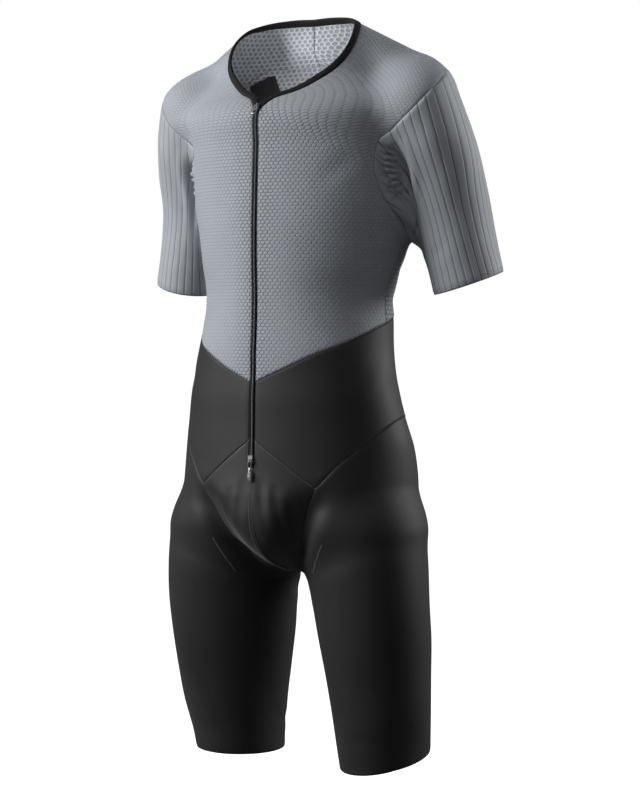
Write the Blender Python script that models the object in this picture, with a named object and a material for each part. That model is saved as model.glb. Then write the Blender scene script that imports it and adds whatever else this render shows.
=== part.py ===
"""Cycling skinsuit: a hollow worn form cut in panels, closed by a full front zip.

Metres, +Z up. The front faces -Y and the wearer's left side is +X. The origin lies
between the shoulders, at the height of the seams on top of the sleeves.
"""

import math

import bmesh
import bpy
import numpy as np
from mathutils import Matrix

# Driving dimensions, in metres
CLOTH = 0.0015
SEAM_GAP = 0.0003
RIB_COUNT = 28
RIB_HEIGHT = 0.0007
BINDING_WIDTH = 0.0075
BINDING_PROUD = 0.0005
ZIP_WIDTH = 0.0065
ZIP_PROUD = 0.0003
ZIP_FOOT = -0.512
WAIST_FRONT = -0.4035
CROTCH_SEAM_FRONT = -0.4765
LEG_TURN = math.radians(33)

# Places where a sleeve meets the side seam and the yoke seam, counted in ribs
ARMPIT_RIB = 15
YOKE_RIB = 24

# One rib of the sleeve: how far across it, and how much of its height
RIB_SHAPE = ((0.0, 0.0), (0.25, 1.0), (0.75, 1.0))

# How many steps each seam is cut into
STEPS = {
    "zip_chest": 13,
    "zip_waist": 14,
    "zip_foot": 3,
    "crotch_centre": 6,
    "neck": 14,
    "back_neck": 2,
    "yoke": 9,
    "side": 10,
    "waist_front": 9,
    "waist_back": 9,
    "crotch_top": 3,
    "crotch_joint": 3,
    "seat": 11,
    "leg_front": 10,
    "leg_back": 15,
    "sleeve": 5,
    "leg": 10,
}

# Body sections: half width, reach to the front and to the back of a middle line
TORSO_COLUMNS = ("z", "half_width", "front", "back", "middle")
TORSO = (
    (0.000, 0.160, 0.085, 0.055, 0.030),
    (-0.020, 0.165, 0.098, 0.070, 0.022),
    (-0.050, 0.165, 0.1095, 0.098, 0.010),
    (-0.100, 0.160, 0.115, 0.100, 0.012),
    (-0.170, 0.158, 0.122, 0.110, 0.016),
    (-0.205, 0.151, 0.123, 0.110, 0.016),
    (-0.250, 0.140, 0.113, 0.108, 0.006),
    (-0.290, 0.131, 0.107, 0.100, 0.001),
    (-0.330, 0.134, 0.103, 0.1005, -0.004),
    (-0.360, 0.139, 0.099, 0.099, -0.010),
    (-0.392, 0.145, 0.096, 0.099, -0.0137),
    (-0.424, 0.151, 0.098, 0.105, -0.0137),
    (-0.455, 0.157, 0.103, 0.108, -0.009),
    (-0.487, 0.1635, 0.110, 0.115, -0.003),
    (-0.519, 0.167, 0.112, 0.123, -0.002),
    (-0.550, 0.169, 0.112, 0.128, -0.004),
)
TORSO_TOP = -0.060
TORSO_TOP_ROUND = 0.080
TORSO_FOOT = -0.560
TORSO_FOOT_ROUND = 0.092
TORSO_FOOT_POWER = 2.6
TORSO_SCALE = 0.11

# Arm sections, round in the level plane
ARM_COLUMNS = ("z", "x", "y", "radius")
ARM = (
    (-0.0450, 0.1763, 0.0169, 0.0521),
    (-0.0568, 0.1750, 0.0200, 0.0560),
    (-0.0953, 0.1865, 0.0294, 0.0548),
    (-0.1822, 0.1998, 0.0540, 0.0510),
    (-0.2256, 0.2078, 0.0580, 0.0498),
    (-0.2691, 0.2200, 0.0604, 0.0478),
    (-0.3000, 0.2280, 0.0620, 0.0462),
)
ARM_TOP = -0.0450
ARM_FOOT = -0.3000
CUFF_CENTRE = (0.221, 0.0610, -0.2755)
CUFF_AXIS = (0.057, 0.050, -0.220)
CUFF_RADIUS = 0.0470

# Cloth under the arm: how soon it meets the arm, and the soft folds that gather there
SLEEVE_SETTLES = 0.5
SLEEVE_CLOSE = 0.008
FOLD_COLUMNS = ("turn", "width", "height", "start", "end")
SLEEVE_FOLDS = (
    (-118.0, 9.0, 0.0030, 0.00, 0.75),
    (-142.0, 8.0, 0.0035, 0.00, 0.60),
    (-166.0, 8.0, 0.0030, 0.00, 0.55),
    (-208.0, 10.0, 0.0030, 0.00, 0.65),
)

# Leg sections, oval in the level plane and turned outward
LEG_COLUMNS = ("z", "x", "y", "long", "short")
LEG = (
    (-0.580, 0.1000, 0.0000, 0.0880, 0.0780),
    (-0.645, 0.1040, 0.0000, 0.0900, 0.0780),
    (-0.690, 0.1087, 0.0020, 0.0870, 0.0742),
    (-0.737, 0.1114, 0.0075, 0.0833, 0.0718),
    (-0.785, 0.1137, 0.0123, 0.0772, 0.0675),
    (-0.832, 0.1153, 0.0172, 0.0704, 0.0642),
    (-0.885, 0.1148, 0.0251, 0.0616, 0.0614),
    (-0.905, 0.1148, 0.0280, 0.0600, 0.0600),
)
LEG_TOP = -0.600
LEG_TOP_ROUND = 0.060
LEG_SCALE = 0.075
LEG_HEM_RADIUS = 0.0608

# Leg hems: the height at the leg's middle, and how much each hem rises outward and backward
HEM_COLUMNS = ("side", "z", "outward", "backward")
LEG_HEMS = (
    (1, -0.8967, 0.080, 0.250),
    (-1, -0.9010, 0.029, 0.044),
)
LEG_HEM_START = math.radians(-100)
LEG_FRONT_SHARE = 0.22

# Shoulders: a tapered bar on each side, and the dome that the neck is cut from
SHOULDER_INNER = (0.0292, 0.0033, 0.0534)
SHOULDER_INNER_RADIUS = 0.0337
SHOULDER_OUTER = (0.1514, 0.0367, -0.0159)
SHOULDER_OUTER_RADIUS = 0.0378
NECK_CENTRE = (0.0, -0.0185, -0.0399)
NECK_RADII = (0.1076, 0.0453, 0.1156)
NECK_SCALE = 0.11

# How softly two forms run into each other
SOFT = {
    "shoulders": 0.05,
    "neck": 0.0312,
    "torso": 0.0392,
    "arm": 0.03,
    "legs": 0.015,
    "hips": 0.028,
}

# Valleys between the crotch and the thighs: how far out each one lies, and how deep it is
GROOVE_COLUMNS = ("z", "x", "depth")
GROOVE = (
    (-0.500, 0.1000, 0.000),
    (-0.537, 0.0875, 0.001),
    (-0.571, 0.0696, 0.013),
    (-0.603, 0.0526, 0.020),
    (-0.620, 0.0422, 0.020),
    (-0.640, 0.0280, 0.010),
    (-0.660, 0.0180, 0.000),
)
GROOVE_WIDTH = 0.022
GROOVE_FADE = 0.050

# Seams on the wearer's left half, as places on the form, each given as x, y and z
NECK_SEAM = (
    (0.0000, -0.0960, -0.0430),
    (0.0340, -0.0770, -0.0330),
    (0.0570, -0.0630, -0.0200),
    (0.0760, -0.0495, -0.0060),
    (0.0870, -0.0390, 0.0060),
    (0.0946, -0.0280, 0.0210),
    (0.0965, -0.0170, 0.0360),
    (0.0930, -0.0030, 0.0500),
    (0.0780, 0.0200, 0.0625),
    (0.0550, 0.0300, 0.0675),
    (0.0280, 0.0360, 0.0690),
    (0.0000, 0.0380, 0.0685),
)
YOKE_SEAM = (
    (0.0000, 0.0550, 0.0160),
    (0.0540, 0.0582, 0.0145),
    (0.0940, 0.0619, 0.0140),
)
SIDE_SEAM = (
    (0.1435, 0.0215, -0.2340),
    (0.1385, 0.0130, -0.2540),
    (0.1310, 0.0030, -0.2900),
    (0.1320, 0.0000, -0.3275),
)
WAIST_SEAM_FRONT = (
    (0.0000, -0.1100, -0.4035),
    (0.0370, -0.1063, -0.3889),
    (0.0760, -0.0938, -0.3698),
    (0.1090, -0.0697, -0.3540),
    (0.1294, -0.0347, -0.3375),
    (0.1320, 0.0000, -0.3275),
)
WAIST_SEAM_BACK = (
    (0.1320, 0.0000, -0.3275),
    (0.1265, 0.0400, -0.3180),
    (0.0750, 0.0850, -0.3110),
    (0.0000, 0.1000, -0.3080),
)
CROTCH_TOP_SEAM = (
    (0.0085, -0.1130, -0.4805),
    (0.0463, -0.1090, -0.5065),
    (0.0875, -0.0985, -0.5370),
)
LEG_SEAM_FRONT = (
    (0.0875, -0.0985, -0.5370),
    (0.0696, -0.0890, -0.5710),
    (0.0526, -0.0735, -0.6030),
    (0.0422, -0.0597, -0.6200),
    (0.0283, -0.0315, -0.6380),
    (0.0150, 0.0000, -0.6500),
)
LEG_SEAM_BACK = (
    (0.0875, -0.0985, -0.5370),
    (0.1120, -0.0845, -0.5085),
    (0.1300, -0.0700, -0.4900),
    (0.1525, -0.0359, -0.4617),
    (0.1561, -0.0070, -0.4505),
    (0.1520, 0.0350, -0.4450),
    (0.1300, 0.0800, -0.4550),
    (0.0950, 0.1120, -0.4900),
    (0.0600, 0.1220, -0.5500),
    (0.0400, 0.1100, -0.6050),
    (0.0280, 0.0700, -0.6400),
    (0.0150, 0.0000, -0.6500),
)
CROTCH_CENTRE = (
    (0.0000, -0.1130, -0.5120),
    (0.0000, -0.1140, -0.5450),
    (0.0000, -0.1100, -0.5900),
    (0.0000, -0.0870, -0.6260),
    (0.0000, -0.0340, -0.6420),
    (0.0000, 0.0000, -0.6520),
)
SEAT_CENTRE = (
    (0.0000, 0.1000, -0.3080),
    (0.0000, 0.1100, -0.4000),
    (0.0000, 0.1240, -0.5000),
    (0.0000, 0.1180, -0.5800),
    (0.0000, 0.0700, -0.6400),
    (0.0000, 0.0000, -0.6520),
)

# Armhole: turn is the direction round the arm, in degrees, that a rib keeps to the cuff
ARMHOLE_COLUMNS = ("turn", "x", "y", "z")
ARMHOLE = (
    (-347.0, 0.2080, 0.0250, -0.0020),
    (-326.0, 0.2020, 0.0460, -0.0160),
    (-307.0, 0.1890, 0.0600, -0.0330),
    (-280.0, 0.1720, 0.0760, -0.0680),
    (-247.0, 0.1530, 0.0850, -0.1250),
    (-220.0, 0.1455, 0.0740, -0.1850),
    (-206.0, 0.1490, 0.0520, -0.2190),
    (-193.0, 0.1520, 0.0280, -0.2205),
    (-178.0, 0.1535, 0.0000, -0.1910),
    (-167.0, 0.1480, -0.0260, -0.1710),
    (-155.0, 0.1428, -0.0385, -0.1450),
    (-143.0, 0.1414, -0.0408, -0.1200),
    (-130.0, 0.1435, -0.0393, -0.0980),
    (-119.0, 0.1557, -0.0337, -0.0862),
    (-93.0, 0.1757, -0.0358, -0.0709),
    (-68.0, 0.1950, -0.0324, -0.0531),
    (-42.0, 0.2111, -0.0195, -0.0315),
    (-16.0, 0.2144, 0.0110, -0.0099),
    (13.0, 0.2080, 0.0250, -0.0020),
)

# Hardware sizes
SLIDER_TOP = {"z": -0.0400, "width": 0.0080, "height": 0.0110, "thick": 0.0022, "drop": -0.0015}
SLIDER_FOOT = {"z": -0.5020, "width": 0.0080, "height": 0.0100, "thick": 0.0022, "drop": -0.0020}
EAR_WIDTH = 0.0022
EAR_HEIGHT = 0.0052
EAR_REACH = 0.0034
EAR_WALL = 0.0009
EAR_SINK = 0.0006
PLATE_BEVEL = 0.0006
EAR_BEVEL = 0.0005
HOLE_BEVEL = 0.0004
SLIDER_CLEAR = 0.0003
SLIDER_TAPER = 0.80
PULL_WIRE = 0.0005
RING_TURNS = 20
RING_SIDES = 8
RING_WIDTH = 0.0100
RING_HEIGHT = 0.0120
LOOP_WIDTH = 0.0064
LOOP_HEIGHT = 0.0108
DROP_WIDTH = 0.0078
DROP_TAPER = 0.28
DROP_HEIGHT = 0.0170
DROP_THICK = 0.0016
DROP_SIDES = 16
DROP_ROWS = 10
DROP_LAP = 2.5

# Patch inside the back: where it starts and ends, in steps of the back panel
PATCH_COLUMNS = (3.3, 5.5)
PATCH_ROWS = (16.9, 18.7)
PATCH_WALL = 0.0012

# How wide a stretch of the form a seam's edge takes its direction from
RIM_STEP = 0.008

# How seams are drawn: fine steps between two given places, and where the zip's places start
CURVE_STEPS = 12
ZIP_PLACES = 8
ZIP_DEPTH = -0.11

# Limits for shading and for the corners of a shrunk outline
SMOOTH_ANGLE = math.radians(40)
MITRE_LIMIT = 0.25

GREY_MESH = (0.33, 0.35, 0.38)
GREY_RIB = (0.30, 0.32, 0.35)
BLACK_LYCRA = (0.018, 0.018, 0.020)
BLACK_TRIM = (0.012, 0.012, 0.013)
DARK_METAL = (0.30, 0.31, 0.33)
SILVER = (0.72, 0.73, 0.75)
ROUGHNESS = {"mesh": 0.75, "rib": 0.70, "lycra": 0.55, "crotch": 0.60, "patch": 0.80, "binding": 0.70, "tape": 0.50}
METAL_ROUGHNESS = {"dark": 0.35, "silver": 0.30}


def clear_scene():
    """Takes away whatever the file opened with."""
    for item in list(bpy.data.objects):
        bpy.data.objects.remove(item, do_unlink=True)


def read(table, columns, name, key):
    """One column of a table, read smoothly between its rows."""
    rows = sorted(table)
    keys = np.array([row[0] for row in rows])
    values = np.array([row[columns.index(name)] for row in rows])
    slopes = np.gradient(values, keys)
    place = np.clip(key, keys[0], keys[-1])
    low = np.clip(np.searchsorted(keys, place) - 1, 0, len(keys) - 2)
    span = keys[low + 1] - keys[low]
    t = (place - keys[low]) / span
    first = (2 * t**3 - 3 * t**2 + 1) * values[low] + (t**3 - 2 * t**2 + t) * span * slopes[low]
    last = (3 * t**2 - 2 * t**3) * values[low + 1] + (t**3 - t**2) * span * slopes[low + 1]
    return first + last


def join(first, second, soft):
    """Two forms run into each other over a soft width."""
    share = np.clip(0.5 + 0.5 * (second - first) / soft, 0.0, 1.0)
    return second * (1.0 - share) + first * share - soft * share * (1.0 - share)


def torso(p):
    """Distance from the body's own form, about zero on the cloth."""
    x, y, z = p[..., 0], p[..., 1], p[..., 2]
    depth = y - read(TORSO, TORSO_COLUMNS, "middle", z)
    front = read(TORSO, TORSO_COLUMNS, "front", z)
    back = read(TORSO, TORSO_COLUMNS, "back", z)
    reach = np.where(depth < 0.0, front, back)
    top = np.maximum(0.0, z - TORSO_TOP) / TORSO_TOP_ROUND
    foot = np.maximum(0.0, TORSO_FOOT - z) / TORSO_FOOT_ROUND
    wide = x / read(TORSO, TORSO_COLUMNS, "half_width", z)
    rho = np.sqrt(wide**2 + (depth / reach) ** 2 + top**2 + foot**TORSO_FOOT_POWER)
    return (rho - 1.0) * TORSO_SCALE


def arm(p, side):
    """Distance from one arm of the form."""
    x, y, z = p[..., 0] * side, p[..., 1], p[..., 2]
    across = x - read(ARM, ARM_COLUMNS, "x", z)
    along = y - read(ARM, ARM_COLUMNS, "y", z)
    beyond = np.maximum(0.0, z - ARM_TOP) + np.maximum(0.0, ARM_FOOT - z)
    return np.sqrt(across**2 + along**2 + beyond**2) - read(ARM, ARM_COLUMNS, "radius", z)


def leg(p, side):
    """Distance from one leg of the form."""
    z = p[..., 2]
    out = p[..., 0] * side - read(LEG, LEG_COLUMNS, "x", z)
    back = p[..., 1] - read(LEG, LEG_COLUMNS, "y", z)
    major = out * math.cos(LEG_TURN) - back * math.sin(LEG_TURN)
    minor = out * math.sin(LEG_TURN) + back * math.cos(LEG_TURN)
    top = np.maximum(0.0, z - LEG_TOP) / LEG_TOP_ROUND
    long = major / read(LEG, LEG_COLUMNS, "long", z)
    short = minor / read(LEG, LEG_COLUMNS, "short", z)
    return (np.sqrt(long**2 + short**2 + top**2) - 1.0) * LEG_SCALE


def shoulder(p, side):
    """Distance from the tapered bar of one shoulder."""
    inner = np.array(SHOULDER_INNER) * (side, 1.0, 1.0)
    outer = np.array(SHOULDER_OUTER) * (side, 1.0, 1.0)
    run = outer - inner
    t = np.clip(((p - inner) @ run) / (run @ run), 0.0, 1.0)
    nearest = inner + t[..., None] * run
    radius = SHOULDER_INNER_RADIUS + t * (SHOULDER_OUTER_RADIUS - SHOULDER_INNER_RADIUS)
    return np.linalg.norm(p - nearest, axis=-1) - radius


def neck(p):
    """Distance from the dome that the neck opening is cut from."""
    scaled = (p - np.array(NECK_CENTRE)) / np.array(NECK_RADII)
    return (np.linalg.norm(scaled, axis=-1) - 1.0) * NECK_SCALE


def yoke(p):
    """Both shoulders and the neck as one form."""
    bars = join(shoulder(p, 1), shoulder(p, -1), SOFT["shoulders"])
    return join(bars, neck(p), SOFT["neck"])


def groove(p):
    """How far the cloth dips into the valleys beside the crotch."""
    z = p[..., 2]
    across = (np.abs(p[..., 0]) - read(GROOVE, GROOVE_COLUMNS, "x", z)) / GROOVE_WIDTH
    front = np.clip(-p[..., 1] / GROOVE_FADE, 0.0, 1.0)
    return read(GROOVE, GROOVE_COLUMNS, "depth", z) * front * np.exp(-(across**2))


def form(p):
    """The whole worn form, that every seam lies on."""
    body = join(torso(p), yoke(p), SOFT["torso"])
    body = join(body, arm(p, 1), SOFT["arm"])
    body = join(body, arm(p, -1), SOFT["arm"])
    legs = join(leg(p, 1), leg(p, -1), SOFT["legs"])
    return join(body, legs, SOFT["hips"]) + groove(p)


def sleeve_form(p):
    """The left arm under its shoulder, without the chest beside it."""
    return join(shoulder(p, 1), arm(p, 1), SOFT["arm"])


def leg_form(p):
    """The left leg under the hips, without the other leg."""
    return join(torso(p), leg(p, 1), SOFT["hips"]) + groove(p)


def slope(surface, p, step=0.0004):
    """How a form's distance changes along X, Y and Z."""
    change = [surface(p + step * axis) - surface(p - step * axis) for axis in np.eye(3)]
    return np.stack(change, axis=-1) / (2.0 * step)


def outward(surface, p, step=0.0004):
    """Unit direction straight out of a form."""
    rise = slope(surface, p, step)
    return rise / np.linalg.norm(rise, axis=-1, keepdims=True)


def onto(points, surface=form, hold_x=False, passes=6):
    """Moves points straight onto a form, within their own upright plane if asked."""
    p = np.array(points, dtype=float)
    for _ in range(passes):
        rise = slope(surface, p)
        if hold_x:
            rise[..., 0] = 0.0
        steep = np.maximum((rise**2).sum(axis=-1, keepdims=True), 0.05)
        p -= surface(p)[..., None] * rise / steep
    return p


def seam(points, steps, hold_x=False):
    """A smooth seam through places on the form, cut into even steps."""
    knots = np.array(points, dtype=float)
    padded = np.vstack([2 * knots[0] - knots[1], knots, 2 * knots[-1] - knots[-2]])
    fine = []
    for a, b, c, d in zip(padded, padded[1:], padded[2:], padded[3:]):
        for t in np.linspace(0.0, 1.0, CURVE_STEPS, endpoint=False):
            bend = 2 * a - 5 * b + 4 * c - d
            turn = 3 * b - a - 3 * c + d
            fine.append(b + 0.5 * ((c - a) * t + bend * t**2 + turn * t**3))
    fine.append(knots[-1])
    fine = onto(fine, hold_x=hold_x)
    length = np.concatenate([[0.0], np.cumsum(np.linalg.norm(np.diff(fine, axis=0), axis=1))])
    even = np.linspace(0.0, length[-1], steps + 1)
    places = np.stack([np.interp(even, length, fine[:, k]) for k in range(3)], axis=1)
    return onto(places, hold_x=hold_x)


def mirrored(points):
    """The same places on the wearer's right half."""
    return np.array(points) * (-1.0, 1.0, 1.0)


def meet(edge, first=None, last=None):
    """Ends a seam exactly on its neighbours' corners."""
    edge = np.array(edge)
    if first is not None:
        edge[0] = first
    if last is not None:
        edge[-1] = last
    return edge


def armhole_loop():
    """One place on the armhole for each rib, from the top round the front."""
    before = [(row[0] - 360.0,) + row[1:] for row in ARMHOLE[-3:-1]]
    after = [(row[0] + 360.0,) + row[1:] for row in ARMHOLE[1:3]]
    table = before + list(ARMHOLE) + after
    turns = -np.arange(RIB_COUNT) * 360.0 / RIB_COUNT
    places = np.stack([read(table, ARMHOLE_COLUMNS, axis, turns) for axis in "xyz"], axis=1)
    return onto(places)


def rib_places():
    """Where the points of every rib lie, counted in ribs round the sleeve."""
    return (np.arange(RIB_COUNT)[:, None] + np.array(RIB_SHAPE)[:, 0]).ravel()


def cuff_loop():
    """The cuff's points, square to the arm."""
    axis = np.array(CUFF_AXIS) / np.linalg.norm(CUFF_AXIS)
    turns = -2.0 * math.pi * rib_places() / RIB_COUNT
    level = np.stack([np.cos(turns), np.sin(turns), np.zeros_like(turns)], axis=1)
    flat = level - (level @ axis)[:, None] * axis
    flat /= np.linalg.norm(flat, axis=1, keepdims=True)
    return np.array(CUFF_CENTRE) + CUFF_RADIUS * flat


def find_seams():
    """Every seam line of the left half, each shared by the pieces on both sides of it."""
    half_zip = (ZIP_WIDTH + SEAM_GAP) / 2.0
    heights = (NECK_SEAM[0][2], WAIST_FRONT, CROTCH_SEAM_FRONT, ZIP_FOOT)
    upright = []
    for top, foot in zip(heights, heights[1:]):
        places = [(half_zip, ZIP_DEPTH, z) for z in np.linspace(top, foot, ZIP_PLACES)]
        upright.append(onto(places, hold_x=True))
    lines = {"armhole": armhole_loop(), "cuff": cuff_loop()}
    for name, places in zip(("zip_chest", "zip_waist", "zip_foot"), upright):
        lines[name] = seam(places, STEPS[name], hold_x=True)
    for name, places in (("crotch_centre", CROTCH_CENTRE), ("seat", SEAT_CENTRE)):
        lines[name] = seam(places, STEPS[name], hold_x=True)
    lines["back_neck"] = seam((NECK_SEAM[-1], YOKE_SEAM[0]), STEPS["back_neck"], hold_x=True)
    side = onto(SIDE_SEAM[-1])
    hip = onto(CROTCH_TOP_SEAM[-1])
    crotch_side = onto(LEG_SEAM_FRONT[-1])
    armpit = lines["armhole"][ARMPIT_RIB]
    shoulder_end = lines["armhole"][YOKE_RIB]
    curves = (
        ("neck", NECK_SEAM, lines["zip_chest"][0], lines["back_neck"][0]),
        ("yoke", YOKE_SEAM + (tuple(shoulder_end),), lines["back_neck"][-1], shoulder_end),
        ("side", (tuple(armpit),) + SIDE_SEAM, armpit, side),
        ("waist_front", WAIST_SEAM_FRONT, lines["zip_chest"][-1], side),
        ("waist_back", WAIST_SEAM_BACK, side, lines["seat"][0]),
        ("crotch_top", CROTCH_TOP_SEAM, lines["zip_waist"][-1], hip),
        ("leg_front", LEG_SEAM_FRONT, hip, crotch_side),
        ("leg_back", LEG_SEAM_BACK, hip, crotch_side),
        ("crotch_joint", (CROTCH_CENTRE[-1], LEG_SEAM_FRONT[-1]), lines["seat"][-1], crotch_side),
    )
    for name, places, first, last in curves:
        lines[name] = meet(seam(places, STEPS[name]), first, last)
    return lines


def chain_of(*pieces):
    """Joins seams end to end, each shared corner once."""
    whole = [pieces[0]]
    for piece in pieces[1:]:
        whole.append(piece[1:] if np.allclose(whole[-1][-1], piece[0], atol=1e-6) else piece)
    return np.vstack(whole)


def relax(grid, surface, passes):
    """Evens the inner points of a panel without folding it, and keeps them on the form."""
    for _ in range(passes):
        up, down = grid[2:, 1:-1], grid[:-2, 1:-1]
        left, right = grid[1:-1, :-2], grid[1:-1, 2:]
        along = (right - left) / 2.0
        across = (up - down) / 2.0
        by_column = (across**2).sum(axis=-1, keepdims=True)
        by_row = (along**2).sum(axis=-1, keepdims=True)
        skew = (along * across).sum(axis=-1, keepdims=True)
        twist = (grid[2:, 2:] - grid[2:, :-2] - grid[:-2, 2:] + grid[:-2, :-2]) / 4.0
        mean = by_column * (left + right) + by_row * (up + down) - 2.0 * skew * twist
        grid[1:-1, 1:-1] = onto(mean / (2.0 * (by_column + by_row)), surface, passes=2)
    return grid


def fill(foot, top, left, right, surface=form, passes=20):
    """Fills four seams with a grid of points on the form, rows from foot to top."""
    u = np.linspace(0.0, 1.0, len(foot))[None, :, None]
    v = np.linspace(0.0, 1.0, len(left))[:, None, None]
    grid = (1.0 - v) * foot[None] + v * top[None] + (1.0 - u) * left[:, None] + u * right[:, None]
    grid -= (1.0 - v) * ((1.0 - u) * foot[0] + u * foot[-1]) + v * ((1.0 - u) * top[0] + u * top[-1])
    grid[0], grid[-1], grid[:, 0], grid[:, -1] = foot, top, left, right
    grid[1:-1, 1:-1] = onto(grid[1:-1, 1:-1], surface)
    return relax(grid, surface, passes)


def tube(top, foot, rows, surface, follow, passes=12):
    """Fills two loops with rings of points; follow says how soon each column meets the form."""
    v = np.linspace(0.0, 1.0, rows + 1)[:, None, None]
    grid = (1.0 - v) * top[None] + v * foot[None]
    for turn in range(passes):
        left = np.roll(grid, 1, axis=1)[1:-1]
        right = np.roll(grid, -1, axis=1)[1:-1]
        even = (grid[:-2] + grid[2:] + left + right) / 4.0 if turn else grid[1:-1]
        grid[1:-1] = even + follow[1:-1, :, None] * (onto(even, surface, passes=3) - even)
    return grid


def grid_normals(grid, surface, closed=False):
    """Outward directions of a grid: the form's own on its edges, the cloth's own inside."""
    if closed:
        across = np.roll(grid, -1, axis=1) - np.roll(grid, 1, axis=1)
    else:
        across = np.gradient(grid, axis=1)
    along = np.gradient(grid, axis=0)
    normals = np.cross(across, along)
    normals /= np.maximum(np.linalg.norm(normals, axis=-1, keepdims=True), 1e-12)
    own = outward(surface, grid)
    normals *= np.where((normals * own).sum(axis=-1, keepdims=True) < 0.0, -1.0, 1.0)
    edge = outward(form, grid, RIM_STEP)
    rim = np.zeros(grid.shape[:2], dtype=bool)
    rim[0] = rim[-1] = True
    if not closed:
        rim[:, 0] = rim[:, -1] = True
    return np.where(rim[..., None], edge, normals)


def shrink_loop(loop, inner, normals, distance):
    """Moves a closed outline inward by one distance, square to each of its sides."""
    ahead = np.roll(loop, -1, axis=0) - loop
    upright = normals + np.roll(normals, -1, axis=0)
    inward = np.cross(upright, ahead)
    inward /= np.maximum(np.linalg.norm(inward, axis=1, keepdims=True), 1e-12)
    toward = inner + np.roll(inner, -1, axis=0) - loop - np.roll(loop, -1, axis=0)
    inward *= np.where((inward * toward).sum(axis=1, keepdims=True) < 0.0, -1.0, 1.0)
    before = np.roll(inward, 1, axis=0)
    mitre = 1.0 + (inward * before).sum(axis=1, keepdims=True)
    return loop + distance * (inward + before) / np.maximum(mitre, MITRE_LIMIT)


def shrink(grid, normals, closed=False, distance=SEAM_GAP / 2.0):
    """Leaves half the seam gap free along every edge of a panel."""
    grid = grid.copy()
    if closed:
        for row, near in ((0, 1), (-1, -2)):
            grid[row] = shrink_loop(grid[row].copy(), grid[near], normals[row], distance)
        return grid
    rows, columns = grid.shape[:2]
    places = [(0, j) for j in range(columns)]
    places += [(i, columns - 1) for i in range(1, rows)]
    places += [(rows - 1, j) for j in range(columns - 2, -1, -1)]
    places += [(i, 0) for i in range(rows - 2, 0, -1)]
    inside = [(min(max(i, 1), rows - 2), min(max(j, 1), columns - 2)) for i, j in places]
    index = tuple(np.array(places).T)
    near = tuple(np.array(inside).T)
    grid[index] = shrink_loop(grid[index], grid[near], normals[index], distance)
    return grid


def make_material(name, colour, roughness, metallic=0.0):
    """A plain finish in the piece's own colour."""
    material = bpy.data.materials.new(name)
    material.use_nodes = True
    shader = material.node_tree.nodes["Principled BSDF"]
    shader.inputs["Base Color"].default_value = (*colour, 1.0)
    shader.inputs["Roughness"].default_value = roughness
    shader.inputs["Metallic"].default_value = metallic
    return material


def add_object(name, mesh, material, collection):
    """Puts one named piece in the part's collection."""
    piece = bpy.data.objects.new(name, mesh)
    mesh.materials.append(material)
    collection.objects.link(piece)
    return piece


def cloth_mesh(name, outer, inner, closed=False):
    """A wall of cloth: a flat grid laid on the outer points, then drawn back to the inner ones."""
    rows, columns = outer.shape[:2]
    if closed:
        outer = np.concatenate([outer, outer[:, :1]], axis=1)
        inner = np.concatenate([inner, inner[:, :1]], axis=1)
        columns += 1
    cloth = bmesh.new()
    bmesh.ops.create_grid(cloth, x_segments=columns - 1, y_segments=rows - 1, size=0.5)
    place = cloth.verts.layers.int.new("place")
    for vertex in cloth.verts:
        column = round((vertex.co.x + 0.5) * (columns - 1))
        row = round((vertex.co.y + 0.5) * (rows - 1))
        vertex[place] = row * columns + column
    for vertex in cloth.verts:
        vertex.co = outer[divmod(vertex[place], columns)]
    if closed:
        bmesh.ops.remove_doubles(cloth, verts=cloth.verts[:], dist=1e-6)
    drawn = bmesh.ops.extrude_face_region(cloth, geom=cloth.faces[:])
    for vertex in (item for item in drawn["geom"] if isinstance(item, bmesh.types.BMVert)):
        vertex.co = inner[divmod(vertex[place], columns)]
    bmesh.ops.recalc_face_normals(cloth, faces=cloth.faces[:])
    mesh = bpy.data.meshes.new(name)
    cloth.to_mesh(mesh)
    cloth.free()
    mesh.shade_smooth()
    mesh.set_sharp_from_angle(angle=SMOOTH_ANGLE)
    return mesh


def add_panel(name, grid, material, collection, surface=form, closed=False, raised=0.0, wall=CLOTH):
    """One sewn piece: its grid is shrunk to its seams and given the wall."""
    normals = grid_normals(grid, surface, closed)
    flat = shrink(grid, normals, closed)
    height = np.broadcast_to(np.asarray(raised, dtype=float), flat.shape[:2])
    outer = flat + height[..., None] * normals
    inner = flat - wall * normals
    return add_object(name, cloth_mesh(name, outer, inner, closed), material, collection)


def front_grid(lines):
    """Front half, from the zip over the shoulder to the yoke seam."""
    inner = chain_of(lines["zip_chest"][::-1], lines["neck"], lines["back_neck"])
    over = np.vstack([lines["armhole"][ARMPIT_RIB::-1], lines["armhole"][:YOKE_RIB - 1:-1]])
    outer = chain_of(lines["side"][::-1], over)
    return fill(lines["waist_front"], lines["yoke"], inner, outer)


def back_grid(lines):
    """Back in one piece, from side seam to side seam."""
    foot = chain_of(mirrored(lines["waist_back"]), lines["waist_back"][::-1])
    top = chain_of(mirrored(lines["yoke"])[::-1], lines["yoke"])
    left = chain_of(lines["side"][::-1], lines["armhole"][ARMPIT_RIB:YOKE_RIB + 1])
    return fill(foot, top, mirrored(left), left)


def waist_grid(lines):
    """Black side piece, from the zip round the hip to the centre back."""
    foot = chain_of(lines["crotch_top"], lines["leg_back"])
    top = chain_of(lines["waist_front"], lines["waist_back"])
    seat = chain_of(lines["crotch_joint"][::-1], lines["seat"][::-1])
    return fill(foot, top, lines["zip_waist"][::-1], seat)


def crotch_grid(lines):
    """Crotch piece, between the zip's foot and the leg seam."""
    centre = chain_of(lines["crotch_centre"][::-1], lines["zip_foot"][::-1])
    return fill(lines["crotch_joint"], lines["crotch_top"], centre, lines["leg_front"][::-1])


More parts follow.
